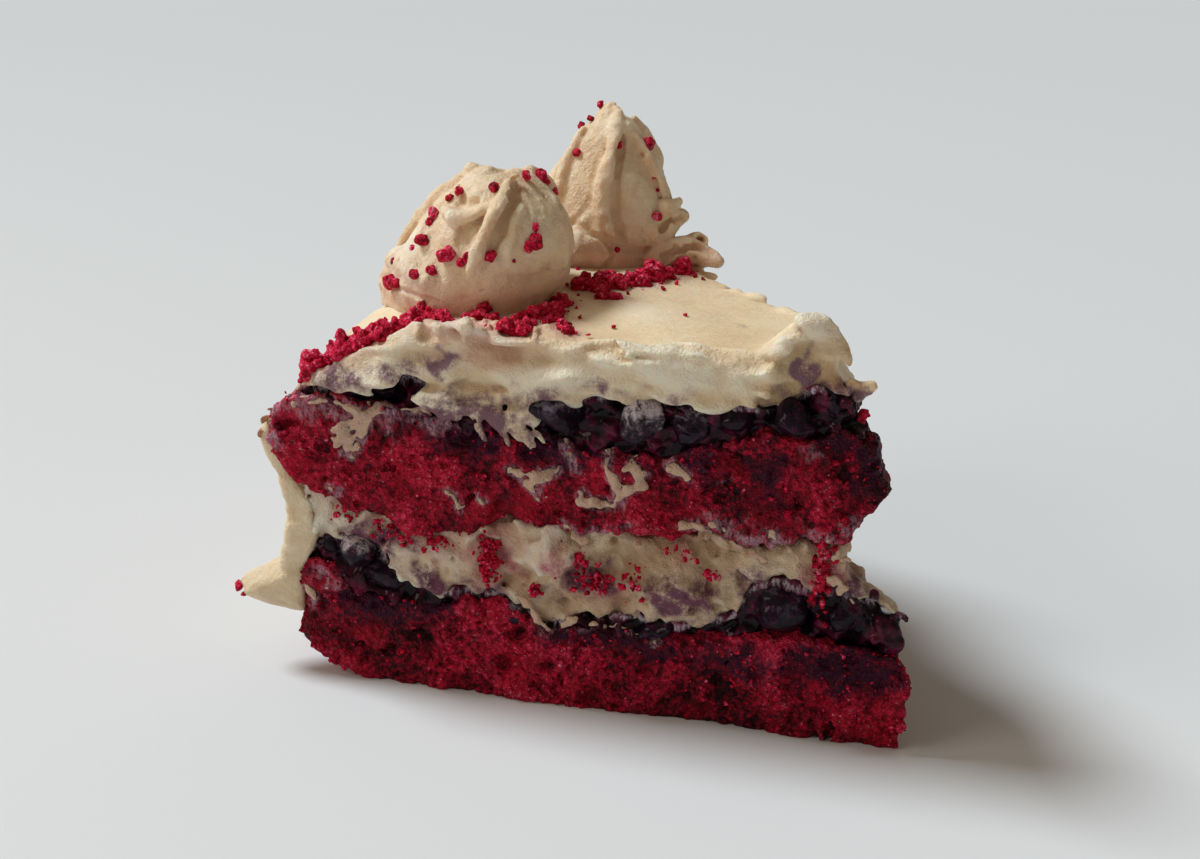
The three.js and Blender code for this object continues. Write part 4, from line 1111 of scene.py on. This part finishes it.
def berry(name, seed):
    """A berry squashed between the layers: its skin is folded, and some show the crown at their end."""
    low, high = (np.array(corner) * 1000 + BOX_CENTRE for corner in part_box(name))
    centre, half = (low + high) / 2, (high - low) / 2
    draw = np.random.default_rng(seed)
    grid = Grid(centre - half - 1.8, centre + half + 1.8, VOXEL["berry"])
    sag, lean = 0.18 * draw.standard_normal(2)
    x, y, z = (p - c for p, c in zip((grid.x, grid.y, grid.z), centre))
    away = np.sqrt(((x + sag * z) / half[0]) ** 2 + (y / half[1]) ** 2 + ((z + lean * x) / half[2]) ** 2)
    field = ((away - 1) * half.min()).astype(np.float32)
    crown = draw.standard_normal(3)
    crown[1] = -abs(crown[1]) * 0.8 if "front" in name else abs(crown[1])
    crown = crown / np.linalg.norm(crown)
    if draw.random() < CROWN_CHANCE:
        crown_scar(field, grid, centre + crown * half * 0.96, crown, half.mean(), draw)
    fold = 1 - np.abs(grid.noise(2.8, seed, (1.5, 1, 0.8)))
    rise = half.min() * (0.15 * fold + 0.1 * grid.noise(3.6, seed + 1) - 0.1)
    rise = rise + 0.09 * grid.noise(0.9, seed + 2)
    obj, points = skin(f"{name}_skin", grid, field - rise, 0.01)
    # The upper side gets more bloom and film: partly the berry's own coat and cream, partly painted sheen and
    # painted highlights where the light falls.
    up_side = ease((points[:, 2] - centre[2]) / half[2], -0.2, 0.9)
    bloom = GLOSSY_BLOOM_AND_SHEEN if name in GLOSSY else BLOOM_AND_SHEEN
    paint(obj, bloom=bloom * (0.2 + 0.8 * up_side), film=FILM_AND_HIGHLIGHT.get(name, 0.0) * (0.4 + 0.6 * up_side))
    dress(obj, MATERIALS["berry"], "berry", name)


# ---------------------------------------------------------------- smears of cream on the cuts
SMEARS = [  # x, z, radius along each stroke in the front cut
    # the fan under the hollow, rib by rib, and the pale edge of the sponge beside it
    [(-99.1, 53.1, 0.8), (-101.6, 51.6, 0.6), (-105, 49.6, 0.4)],
    [(-99.1, 52.9, 0.8), (-101.6, 50.4, 0.6), (-104.6, 47.4, 0.4)],
    [(-99.2, 52.6, 0.8), (-101, 49.2, 0.6), (-103.5, 45.2, 0.4)],
    [(-99, 52.4, 0.7), (-100.2, 49, 0.55), (-102, 44.9, 0.35)],
    [(-98.7, 52.4, 0.6), (-99.4, 49.6, 0.45), (-100.6, 46.9, 0.35)],
    [(-119.6, 46.6, 0.5), (-118.6, 50, 0.6), (-115.8, 53.4, 0.6), (-111, 54.6, 0.6), (-104.6, 54.8, 0.5),
     (-100, 53.6, 0.5)],
    [(-98.5, 53.4, 0.5), (-95.6, 54.6, 0.4), (-91.6, 54.8, 0.4), (-87.9, 55.4, 0.5)],
    # the wedge, the drip and the forked smear under the berries
    [(-72.6, 45.6, 0.35), (-70, 44.2, 0.7), (-68.2, 42.6, 0.9), (-67.4, 41, 0.5)],
    [(-70.4, 45, 0.6), (-67, 45.6, 0.7)],
    [(-68, 44.2, 0.9), (-66, 45.4, 0.8), (-64, 46.4, 0.4)],
    [(-62.3, 54, 0.45), (-62.9, 51.6, 0.4), (-61.6, 49.6, 0.45), (-60.8, 46.8, 0.4)],
    [(-55.2, 50.8, 0.4), (-54.6, 48, 0.5), (-53.2, 45.2, 0.7), (-52.6, 42.6, 0.8)],
    [(-50.9, 49.4, 0.4), (-49, 47.4, 0.7), (-49.6, 45.4, 0.7), (-51.8, 44.2, 0.8), (-53.4, 42, 0.9)],
    [(-59.3, 42.8, 0.5), (-59.4, 41.6, 0.8), (-56.6, 41.2, 0.9), (-53, 41.4, 0.8)],
    [(-45, 51.4, 0.4), (-43.6, 49.4, 0.8), (-42, 48.8, 0.6), (-40.8, 48, 0.4)],
    # crumbs of cream on the red, and the pale lumps along the upper sponge's lower edge
    [(-84, 40.6, 0.35), (-82.6, 39.4, 0.4), (-82, 37, 0.35)],
    [(-106.2, 38.6, 0.35), (-105.2, 37.4, 0.4), (-104.4, 38.6, 0.35)],
    [(-78.4, 39.8, 0.35), (-77.6, 39.2, 0.4)],
    [(-41.6, 38.6, 0.5), (-39.4, 38.8, 0.7), (-37.4, 37.6, 0.6)],
    [(-36.4, 40, 0.4), (-35, 39.4, 0.6), (-33.8, 38.6, 0.5)],
    [(-33, 35.6, 0.6), (-30.6, 35.4, 0.8), (-28.2, 34.8, 0.8), (-26.4, 34.2, 0.6)],
    [(-25.6, 39.2, 0.4), (-24.4, 37.4, 0.6), (-22.6, 36.2, 0.6), (-21, 35, 0.5)],
    [(-18.6, 39.4, 0.4), (-17.6, 37.8, 0.5), (-15.8, 36.6, 0.55), (-14.8, 35.6, 0.5)],
    [(-16.4, 39.6, 0.35), (-15.4, 38.2, 0.5), (-14, 37, 0.5)],
    # the lip of the middle cream, the pale scraps at its foot and the patch on the tip
    [(-63, 36.4, 0.4), (-61, 35, 0.6), (-59.2, 33.8, 0.7)],
    [(-57.6, 35.6, 0.5), (-55.4, 35.4, 0.5), (-53.4, 35.8, 0.4)],
    [(-50.6, 35.2, 0.4), (-49, 34.2, 0.6), (-48.2, 32, 0.4)],
    [(-70, 20.6, 0.6), (-67.6, 17.6, 0.8), (-65.6, 15.2, 0.6)],
    [(-64, 17.2, 0.45), (-61.6, 17, 0.55), (-60, 18.6, 0.45)],
    [(-58.6, 16.6, 0.35), (-57, 17.8, 0.4), (-55.6, 18, 0.35)],
    [(-52.6, 17, 0.35), (-49, 16.8, 0.4), (-45.6, 15.2, 0.4)],
    [(-109, 22, 0.45), (-106.8, 20.4, 0.4), (-107.4, 18.4, 0.35)],
    [(-111.6, 18, 0.4), (-110.4, 15.8, 0.45), (-111, 13.8, 0.35)],
    [(-17, 32, 0.6), (-14.6, 31.8, 0.9), (-13, 30.2, 1.0), (-11.6, 28.4, 0.7)],
]
SMEAR_JUICE = [(-85, 54, 12, 2.5, 0.4), (-63, 50, 4, 5, 0.3), (-117, 52, 5, 6, 0.35)]
BACK_STROKES = 34


def torn_ends(field, grid, rows, draw):
    """Short spikes that pull away from both ends of a stroke."""
    for end in (rows[0], rows[-1]):
        for _ in range(3):
            turn, run = draw.uniform(0, math.tau), draw.uniform(0.8, 2.2) * (0.4 + end[3])
            tip = (end[0] + run * math.cos(turn), end[1], end[2] + run * math.sin(turn), 0.12)
            strand(field, grid, [(*end[:3], end[3] * 0.5), tip], 0.2, squash=(1, 0.8, 1))


def stroke_surface(grid, strokes, seed):
    """Flat strokes of cream with ragged edges, as points and quads."""
    draw = np.random.default_rng(seed)
    field = np.full(grid.shape, FAR, np.float32)
    for rows in strokes:
        strand(field, grid, [(*row[:3], row[3] * 1.2) for row in rows], 0.3, squash=(1, 0.6, 1))
        torn_ends(field, grid, rows, draw)
    ragged = 0.1 * grid.noise(2.0, seed + 1) + 0.17 * grid.noise(0.8, seed + 2) - 0.1
    points, _, quads = surface_arrays(grid, field - ragged)
    return points, quads


def standing_out(sponges, at):
    """How far the sponges' front cut stands at places [x, y, z], as means over small square cells."""
    cell, corner, cells, bare = 0.8, np.array((-124, -2)), (160, 84), -0.4
    skins = np.vstack(sponges)
    skins = skins[skins[:, 1] < 2.2]
    total, count = np.zeros((2, *cells))
    inside = tuple(((skins[:, [0, 2]] - corner) / cell).astype(int).T)
    np.add.at(total, inside, skins[:, 1])
    np.add.at(count, inside, 1)
    mean = np.where(count > 0, total / np.maximum(count, 1), bare)
    place = np.clip((at[:, [0, 2]] - corner) / cell - 0.5, 0, np.array(cells) - 2)
    col, row = place.astype(int).T
    u, v = (place - place.astype(int)).T
    lower = mean[col, row] * (1 - u) + mean[col + 1, row] * u
    return lower * (1 - v) + (mean[col, row + 1] * (1 - u) + mean[col + 1, row + 1] * u) * v


def back_strokes():
    """Strokes along the seams of the back cut, by their run from the tip."""
    draw = np.random.default_rng(83)
    strokes = []
    for _ in range(BACK_STROKES):
        run, high = draw.uniform(16, 108), draw.choice([draw.normal(38.6, 1.6), draw.normal(52.5, 1.6)])
        size = draw.uniform(0.45, 0.9)
        sway = [(k * draw.uniform(-1.6, 1.6), k * draw.uniform(-1.6, 1.2)) for k in range(4)]
        steps = [(run + aside, -0.4, high + up) for aside, up in sway]
        strokes.append([(*step, size * (1 - 0.15 * k)) for k, step in enumerate(steps)])
    return strokes


def smears(sponges):
    """Thin strokes of cream, flat against the front cut, and the same kind on the back cut."""
    strokes = [[(x, 0.0, z, r) for x, z, r in stroke] for stroke in SMEARS]
    front_grid = Grid((-122, -2.4, 12), (-1, 2.4, 60), VOXEL["front_smears"])
    front, front_faces = stroke_surface(front_grid, strokes, 81)
    front[:, 1] += standing_out(sponges, front) - 0.3
    back_grid = Grid((-3, -2.5, 28), (122, 2.5, 60), VOXEL["back_smears"])
    rear, rear_faces = stroke_surface(back_grid, back_strokes(), 84)
    # the back cut's own run, depth and height, turned into the slice's x, y, z
    run, deep, high = rear.T
    rear = np.stack([-run * COS - deep * SIN, run * SIN - deep * COS, high], 1)
    points = np.vstack([front, rear])
    quads = np.vstack([front_faces, rear_faces + len(front)])
    obj = mesh_object("cream_smears", points, quads=quads)
    juice = np.where(points[:, 2] > 44, 0.2, 0.1) + spots(points, SMEAR_JUICE)
    paint(obj, relief=0.5, juice=juice, pink=0.24, film=0.0, rough=1.0)
    dress(obj, MATERIALS["cut_cream"], "cream")


# ---------------------------------------------------------------- crumbs
# Heaps of crumbs on the icing: their path in x and y, how many clumps, how far they stray, how high they
# pile, and their half sizes.
HEAPS = [
    ([(-110, 2), (-104.6, 2.4)], 16, 1.2, 3.8, (1.2, 1.9)),
    ([(-106, 3), (-100, 3.6), (-94, 4.6), (-88, 7)], 34, 1.4, 1.6, (0.8, 1.7)),
    ([(-101, 2.2), (-99.6, 2.8)], 4, 0.5, 3.0, (1.2, 1.6)),
    ([(-82.2, 7.8), (-81, 8)], 2, 0.4, 1.2, (1.1, 1.4)),
    ([(-79, 8.4), (-73, 10)], 7, 0.6, 0.2, (0.4, 0.9)),
    ([(-73, 11), (-70, 15), (-68.6, 17)], 12, 1.0, 1.2, (0.9, 1.6)),
    ([(-68, 17), (-68.4, 11), (-72, 7)], 8, 0.6, 0.3, (0.6, 1.2)),
    ([(-65.6, 7), (-63.6, 4.6)], 4, 0.6, 0.3, (0.8, 1.3)),
    ([(-74, 3), (-71, 4)], 6, 0.9, 1.0, (1.1, 1.7)),
    ([(-69.4, 22), (-68, 33)], 12, 1.0, 1.0, (0.9, 1.5)),
    ([(-67, 33), (-62, 36), (-57, 41)], 26, 1.6, 1.6, (0.9, 1.7)),
    ([(-56, 43), (-51, 49)], 15, 1.3, 2.6, (1.1, 1.8)),
    ([(-62.5, 27), (-60.5, 27)], 5, 0.7, 0.5, (0.9, 1.3)),
    ([(-76, 42), (-80, 47), (-86, 50), (-92, 48)], 14, 1.4, 0.8, (0.6, 1.4)),
    ([(-103, 38), (-98, 48), (-89, 60), (-78, 73)], 26, 1.6, 0.8, (0.6, 1.5)),
]
PRESSED_CLUMPS, LOOSE_CRUMBS = 191, 520
LOOSE = [  # single crumbs on the icing: x, y
    (-64, 14), (-60, 3.4), (-66, 20), (-57, 9.6), (-78, 3), (-86, 2), (-59, 31), (-46, 20), (-84, 4),
    (-76, 6)]
FALLS = [  # crumbs that fell over the cream in the front cut: middle (x, z), spread and count
    ((-76.5, 28), (1.8, 4.2), 130), ((-16.6, 33), (1.5, 5.5), 110), ((-94, 31), (4.5, 1.8), 46),
    ((-64, 29.5), (1.2, 3), 34), ((-60, 30), (1.2, 1.4), 24), ((-42.5, 33.4), (2.2, 1.0), 12),
    ((-36, 30), (1.3, 1.2), 12), ((-68, 22.5), (1.2, 1.2), 12), ((-57, 26), (3.4, 2), 50),
    ((-86, 30), (3.4, 1.6), 26), ((-103, 33), (3, 1.4), 14), ((-50, 27), (3, 3), 20)]
STRAYS = [  # crumbs that stick to the tip, the ear and the cut: x, y, z, half size
    (-12.2, 2.6, 61.4, 1.7), (-12.8, 2.4, 60.6, 1.2), (-126, 1.6, 15.4, 1.7), (-124.6, 0.8, 13.9, 1.0),
    (-16, -0.6, 53.5, 1.2), (-24, -0.8, 48, 1.0), (-23.5, -0.9, 43.5, 1.2), (-13.5, -0.6, 43, 1.6)]
GRAINS_PER_SPONGE = 900
ON_SWIRLS = {  # turn from the camera's side and share of the height, with a half size
    "swirl_low": [
        (-62, 0.86, 1.0), (-69, 0.8, 1.0), (-69, 0.69, 1.4), (-66, 0.63, 1.0), (-59, 0.5, 1.5),
        (-65, 0.42, 1.1), (-33, 0.45, 1.9), (-17, 0.45, 1.3), (-21, 0.41, 1.0), (-45, 0.28, 1.7),
        (-50, 0.31, 1.1), (-37, 0.33, 1.2), (-72, 0.29, 1.4), (-61, 0.16, 1.7), (-56, 0.17, 1.2),
        (-2, 0.47, 1.3), (30, 0.65, 1.0), (27, 0.56, 1.8), (24, 0.53, 1.3), (-11, 0.92, 1.2), (60, 0.97, 1.1),
        (100, 0.92, 1.8), (104, 0.88, 1.3), (101, 0.8, 1.0), (14, 0.43, 0.5), (8, 0.06, 1.6),
        (-30, 0.05, 1.2), (130, 0.6, 1.5), (150, 0.4, 1.2), (170, 0.7, 1.3), (200, 0.3, 1.6),
        (215, 0.55, 1.2), (240, 0.8, 1.1)],
    "swirl_tall": [
        (-98, 0.98, 0.9), (-92, 0.84, 0.9), (-47, 0.71, 1.0), (10, 0.87, 0.7), (13, 0.77, 0.9),
        (62, 0.76, 1.7), (55, 0.57, 0.9), (57, 0.48, 0.5), (49, 0.32, 1.5), (12, 0.15, 0.7), (120, 0.5, 1.3),
        (150, 0.7, 1.1), (170, 0.3, 1.5), (200, 0.55, 1.2), (-120, 0.4, 1.3), (-70, 0.9, 0.8)],
}


def bare_icing(x, y):
    """Whether a place on top is free: not under a swirl and not over an edge."""
    swirls = (Swirl(name) for name in SWIRLS)
    under = any(np.hypot(x - s.centre[0], y - s.centre[1]) < s.reach - 1.4 for s in swirls)
    return not (under or y < 0.4 or past_back(x, y) > -1.2 or np.hypot(x, y) > 115.5)


def heap_places(total, spread, piled, sizes, seed):
    """Places [x, y, z, half size] along the heaps' paths; sizes may replace the heaps' own."""
    draw = np.random.default_rng(seed)
    share = total / sum(heap[1] for heap in HEAPS)
    places = []
    for path, count, stray, pile, own_sizes in HEAPS:
        middle = curve_through([(x, y, 0.0) for x, y in path], 12)
        for _ in range(max(2, round(count * share))):
            shift = draw.normal(0, 0.6, 2)
            x, y = middle[draw.integers(len(middle)), :2] + shift * stray * spread
            half = np.interp(draw.random() ** 1.5, (0, 1), sizes or own_sizes)
            lift = piled * pile * draw.random() * math.exp(-shift @ shift) + half * 0.35
            if bare_icing(x, y):
                places.append((x, y, ground(x, y) + lift, half))
    return np.array(places)


HEAP_CLUMPS = heap_places(PRESSED_CLUMPS, 1.0, 1.0, None, 91)


def heaps():
    """Crumbs that lie pressed together: clumps of knobs, with grains of two sizes standing out of them."""
    grid = Grid(HEAP_CLUMPS[:, :3].min(0) - 3.5, HEAP_CLUMPS[:, :3].max(0) + 3, VOXEL["heaps"])
    field = np.full(grid.shape, FAR, np.float32)
    draw = np.random.default_rng(92)
    for x, y, z, half in HEAP_CLUMPS:
        floor = ground(x, y)
        for _ in range(int(8 + 4 * (z - floor) / half)):
            way = draw.standard_normal(3)
            at = np.array((x, y, z)) + way / np.linalg.norm(way) * half * 0.7
            at[2] = max(at[2] - draw.random() * (z - floor), floor)
            lump(field, grid, at, half * draw.uniform(0.34, 0.62) * draw.uniform(0.8, 1.2, 3), 0.1)
    near = np.ones(grid.shape, np.float32)
    rise = packed(grid, field, near, [(1.1, 0.6), (0.75, 0.35)], 93)
    points, _, quads = surface_arrays(grid, field - rise)
    obj = mesh_object("crumb_heaps", points, quads=quads)
    # The tone holds painted shade and light: darker in the creases between grains, lighter on grains that
    # stand out and on crumbs piled higher.
    tall = points[:, 2] - icing_height(points[:, 0], points[:, 1])
    paint(obj, tone=0.36 + 0.6 * grid.sample(rise, points) + 0.05 * tall)
    dress(obj, MATERIALS["crumb"], "sponge")


CRUMB_KINDS = 7


def crumb_shapes(title, step, lumps):
    """A few knobbly crumbs about one millimetre in half size, kept out of the scene for copying."""
    kinds = bpy.data.collections.new(title)
    for k in range(CRUMB_KINDS):
        draw = np.random.default_rng(100 + k)
        grid = Grid((-1.8, -1.8, -1.8), (1.8, 1.8, 1.8), step)
        field = np.full(grid.shape, FAR, np.float32)
        lump(field, grid, (0, 0, 0), (0.62, 0.55, 0.6), 0.2)
        for _ in range(lumps):
            way = draw.standard_normal(3)
            at = way / np.linalg.norm(way) * draw.uniform(0.4, 0.72)
            lump(field, grid, at, [draw.uniform(0.24, 0.42)] * 3, 0.16)
        obj, points = skin(f"{title}_{k}", grid, field)
        obj.data.vertices.foreach_set("co", (points * 0.001).astype(np.float32).ravel())
        bpy.context.scene.collection.objects.unlink(obj)
        kinds.objects.link(obj)
    return kinds


def build_copies():
    """Geometry Nodes: a shape on every point, by its own size and turned any way, made real."""
    tree = bpy.data.node_groups.new("crumbs_on_points", "GeometryNodeTree")
    inputs = (("Points", "Geometry"), ("Shapes", "Collection"), ("Half size", "Float"), ("Seed", "Int"),
              ("Material", "Material"))
    for title, kind in inputs:
        tree.interface.new_socket(title, in_out="INPUT", socket_type=f"NodeSocket{kind}")
    tree.interface.new_socket("Geometry", in_out="OUTPUT", socket_type="NodeSocketGeometry")
    wire = Wiring(tree)
    given = wire.add("NodeGroupInput").outputs
    shapes = wire.add("GeometryNodeCollectionInfo", {
        "Collection": given["Shapes"], "Separate Children": True, "Reset Children": True})
    points = wire.add("GeometryNodeMeshToPoints", {"Mesh": given["Points"]})
    turn = wire.add("FunctionNodeRandomValue", {"Max": (math.tau,) * 3, "Seed": given["Seed"]},
                    data_type="FLOAT_VECTOR")
    rotation = wire.add("FunctionNodeEulerToRotation", {"Euler": turn.outputs["Value"]})
    own = wire.add("GeometryNodeInputNamedAttribute", {"Name": "size"},
                   data_type="FLOAT").outputs["Attribute"]
    copies = wire.add("GeometryNodeInstanceOnPoints", {
        "Points": points.outputs["Points"], "Instance": shapes.outputs["Instances"], "Pick Instance": True,
        "Rotation": rotation.outputs["Rotation"], "Scale": wire.math("MULTIPLY", own, given["Half size"])})
    real = wire.add("GeometryNodeRealizeInstances", {"Geometry": copies.outputs["Instances"]})
    coated = wire.add("GeometryNodeSetMaterial", {
        "Geometry": real.outputs["Geometry"], "Material": given["Material"]})
    wire.add("NodeGroupOutput", {"Geometry": coated.outputs["Geometry"]})
    return tree


CRUMB_COPIES = build_copies()


def scatter(name, places, shapes, seed, *nodes):
    """One piece of crumbs at [x, y, z, half size] rows, copied by Geometry Nodes and made real."""
    places = np.asarray(places)
    obj = mesh_object(name, places[:, :3], smooth=False)
    tones = np.random.default_rng(seed).normal(0.5, 0.13, len(places))
    for title, values in (("size", places[:, 3]), ("tone", tones)):
        obj.data.attributes.new(title, "FLOAT", "POINT").data.foreach_set("value", values.astype(np.float32))
    modifier = obj.modifiers.new("copies", "NODES")
    modifier.node_group = CRUMB_COPIES
    items = CRUMB_COPIES.interface.items_tree
    sockets = {item.name: item.identifier for item in items if item.in_out == "INPUT"}
    given = {"Shapes": shapes, "Half size": 1.0, "Seed": seed, "Material": MATERIALS["crumb"]}
    for title, value in given.items():
        modifier[sockets[title]] = value
    graph = bpy.context.evaluated_depsgraph_get()
    own = obj.evaluated_get(graph)
    made = bpy.data.meshes.new_from_object(own, preserve_all_data_layers=True, depsgraph=graph)
    obj.modifiers.clear()
    obj.data = made
    made.name = name
    made.shade_smooth()
    dress(obj, MATERIALS["crumb"], "sponge", *nodes)


def cut_crumbs(sponges, seed):
    """Loose grains on the sponges' cut faces and the red crumbs that fell over the cream."""
    draw = np.random.default_rng(seed)
    rows = []
    for points in sponges:
        faces = (points[:, 1] < 1.2) | (past_back(points[:, 0], points[:, 1]) > -1.2)
        at = points[faces & (points[:, 2] > 0.8)]
        picked = at[draw.integers(0, len(at), GRAINS_PER_SPONGE)]
        rows += [(x, y, z, 0.28 + 0.55 * draw.random() ** 2.5) for x, y, z in picked]
    for (x, z), (wide, high), count in FALLS:
        for _ in range(count):
            at = (x + draw.normal(0, wide * 0.6), draw.uniform(-0.9, -0.1), z + draw.normal(0, high * 0.6))
            rows.append((*at, 0.35 + 0.95 * draw.random() ** 1.7))
    return rows + STRAYS


# ---------------------------------------------------------------- make the pieces
sponge_points = [
    sponge("sponge_lower", 11, [("lower_sponge_top", 1.0, 3.0)]),
    sponge("sponge_upper", 21, [("upper_sponge_top", 1.05, 3.2), ("cream_top", 0.1, 1.0)]),
]
cream_layer()
jam_layer("jam_lower", 51)
jam_layer("jam_upper", 56)
icing()
piped("swirl_low", 61)
piped("swirl_tall", 66)
for number, node in enumerate(sorted(n for n in frame["nodes"] if n.startswith("berry_"))):
    berry(node, 200 + 7 * number)
smears(sponge_points)
heaps()
knobbly, fine = crumb_shapes("knobbly_crumb", 0.22, 18), crumb_shapes("fine_crumb", 0.6, 6)
on_swirls = [
    (*swirl.place(degrees, share, size * 0.35), size)
    for name, rows in ON_SWIRLS.items() for swirl in [Swirl(name)] for degrees, share, size in rows]
scatter("swirl_crumbs", on_swirls, knobbly, 95)
around_heaps = heap_places(LOOSE_CRUMBS, 2.4, 0.3, (0.3, 1.0), 98)
singles = [(x, y, ground(x, y) + 0.3, 0.7) for x, y in LOOSE]
scatter("icing_crumbs", np.vstack([around_heaps, singles]), fine, 99, "icing")
scatter("cut_crumbs", cut_crumbs(sponge_points, 96), fine, 97)
# the shapes that were copied are no longer needed
for kinds in (knobbly, fine):
    for obj in list(kinds.objects):
        bpy.data.objects.remove(obj)
    bpy.data.collections.remove(kinds)


# ---------------------------------------------------------------- floor, light and camera
FLOOR_HALF = 40.0  # metres
FLOOR_FINISH = {"Base Color": (0.72, 0.72, 0.72, 1), "Roughness": 0.8}
SKY = {"Color": (1.0, 0.86, 0.69, 1), "Strength": 0.2}
LIGHTS = [  # name, kind, place in metres, angle or size, power and colour
    ("key", "SUN", (-0.55, 0.08, 0.74), 0.3, 2.95, (0.86, 0.94, 1.0)),
    ("front_fill", "AREA", (-0.6, -0.5, 0.52), 0.4, 1.6, (1.0, 0.91, 0.81)),
]
LIT_POINT = Vector((0, 0, 0.04))


def add_floor():
    mesh = bpy.data.meshes.new("floor")
    corners = [(x * FLOOR_HALF, y * FLOOR_HALF, 0) for x, y in ((-1, -1), (1, -1), (1, 1), (-1, 1))]
    mesh.from_pydata(corners, [], [(0, 1, 2, 3)])
    mesh.materials.append(finish("pale_floor", lambda wire: {}, **FLOOR_FINISH))
    floor = bpy.data.objects.new("floor", mesh)
    bpy.context.scene.collection.objects.link(floor)


def add_lights():
    world = bpy.data.worlds.new("studio")
    bpy.context.scene.world = world
    world.use_nodes = True
    for key, value in SKY.items():
        world.node_tree.nodes["Background"].inputs[key].default_value = value
    for name, kind, at, size, power, colour in LIGHTS:
        light = bpy.data.lights.new(name, kind)
        light.energy, light.color = power, colour
        setattr(light, "angle" if kind == "SUN" else "size", size)
        lamp = bpy.data.objects.new(name, light)
        lamp.location = at
        lamp.rotation_euler = (LIT_POINT - Vector(at)).to_track_quat("-Z", "Y").to_euler()
        bpy.context.scene.collection.objects.link(lamp)


def add_camera():
    lens = bpy.data.cameras.new("camera")
    lens.lens, lens.sensor_width, lens.sensor_fit = CAMERA["lens"], 36.0, "HORIZONTAL"
    lens.clip_start = 0.01
    camera = bpy.data.objects.new("camera", lens)
    turn = Matrix((CAMERA["right"], CAMERA["up"], [-c for c in CAMERA["look"]])).transposed()
    camera.matrix_world = Matrix.Translation(metres(CAMERA["at"])) @ turn.to_4x4()
    bpy.context.scene.collection.objects.link(camera)
    bpy.context.scene.camera = camera
    bpy.context.scene.view_settings.view_transform = "Standard"


add_floor()
add_lights()
add_camera()
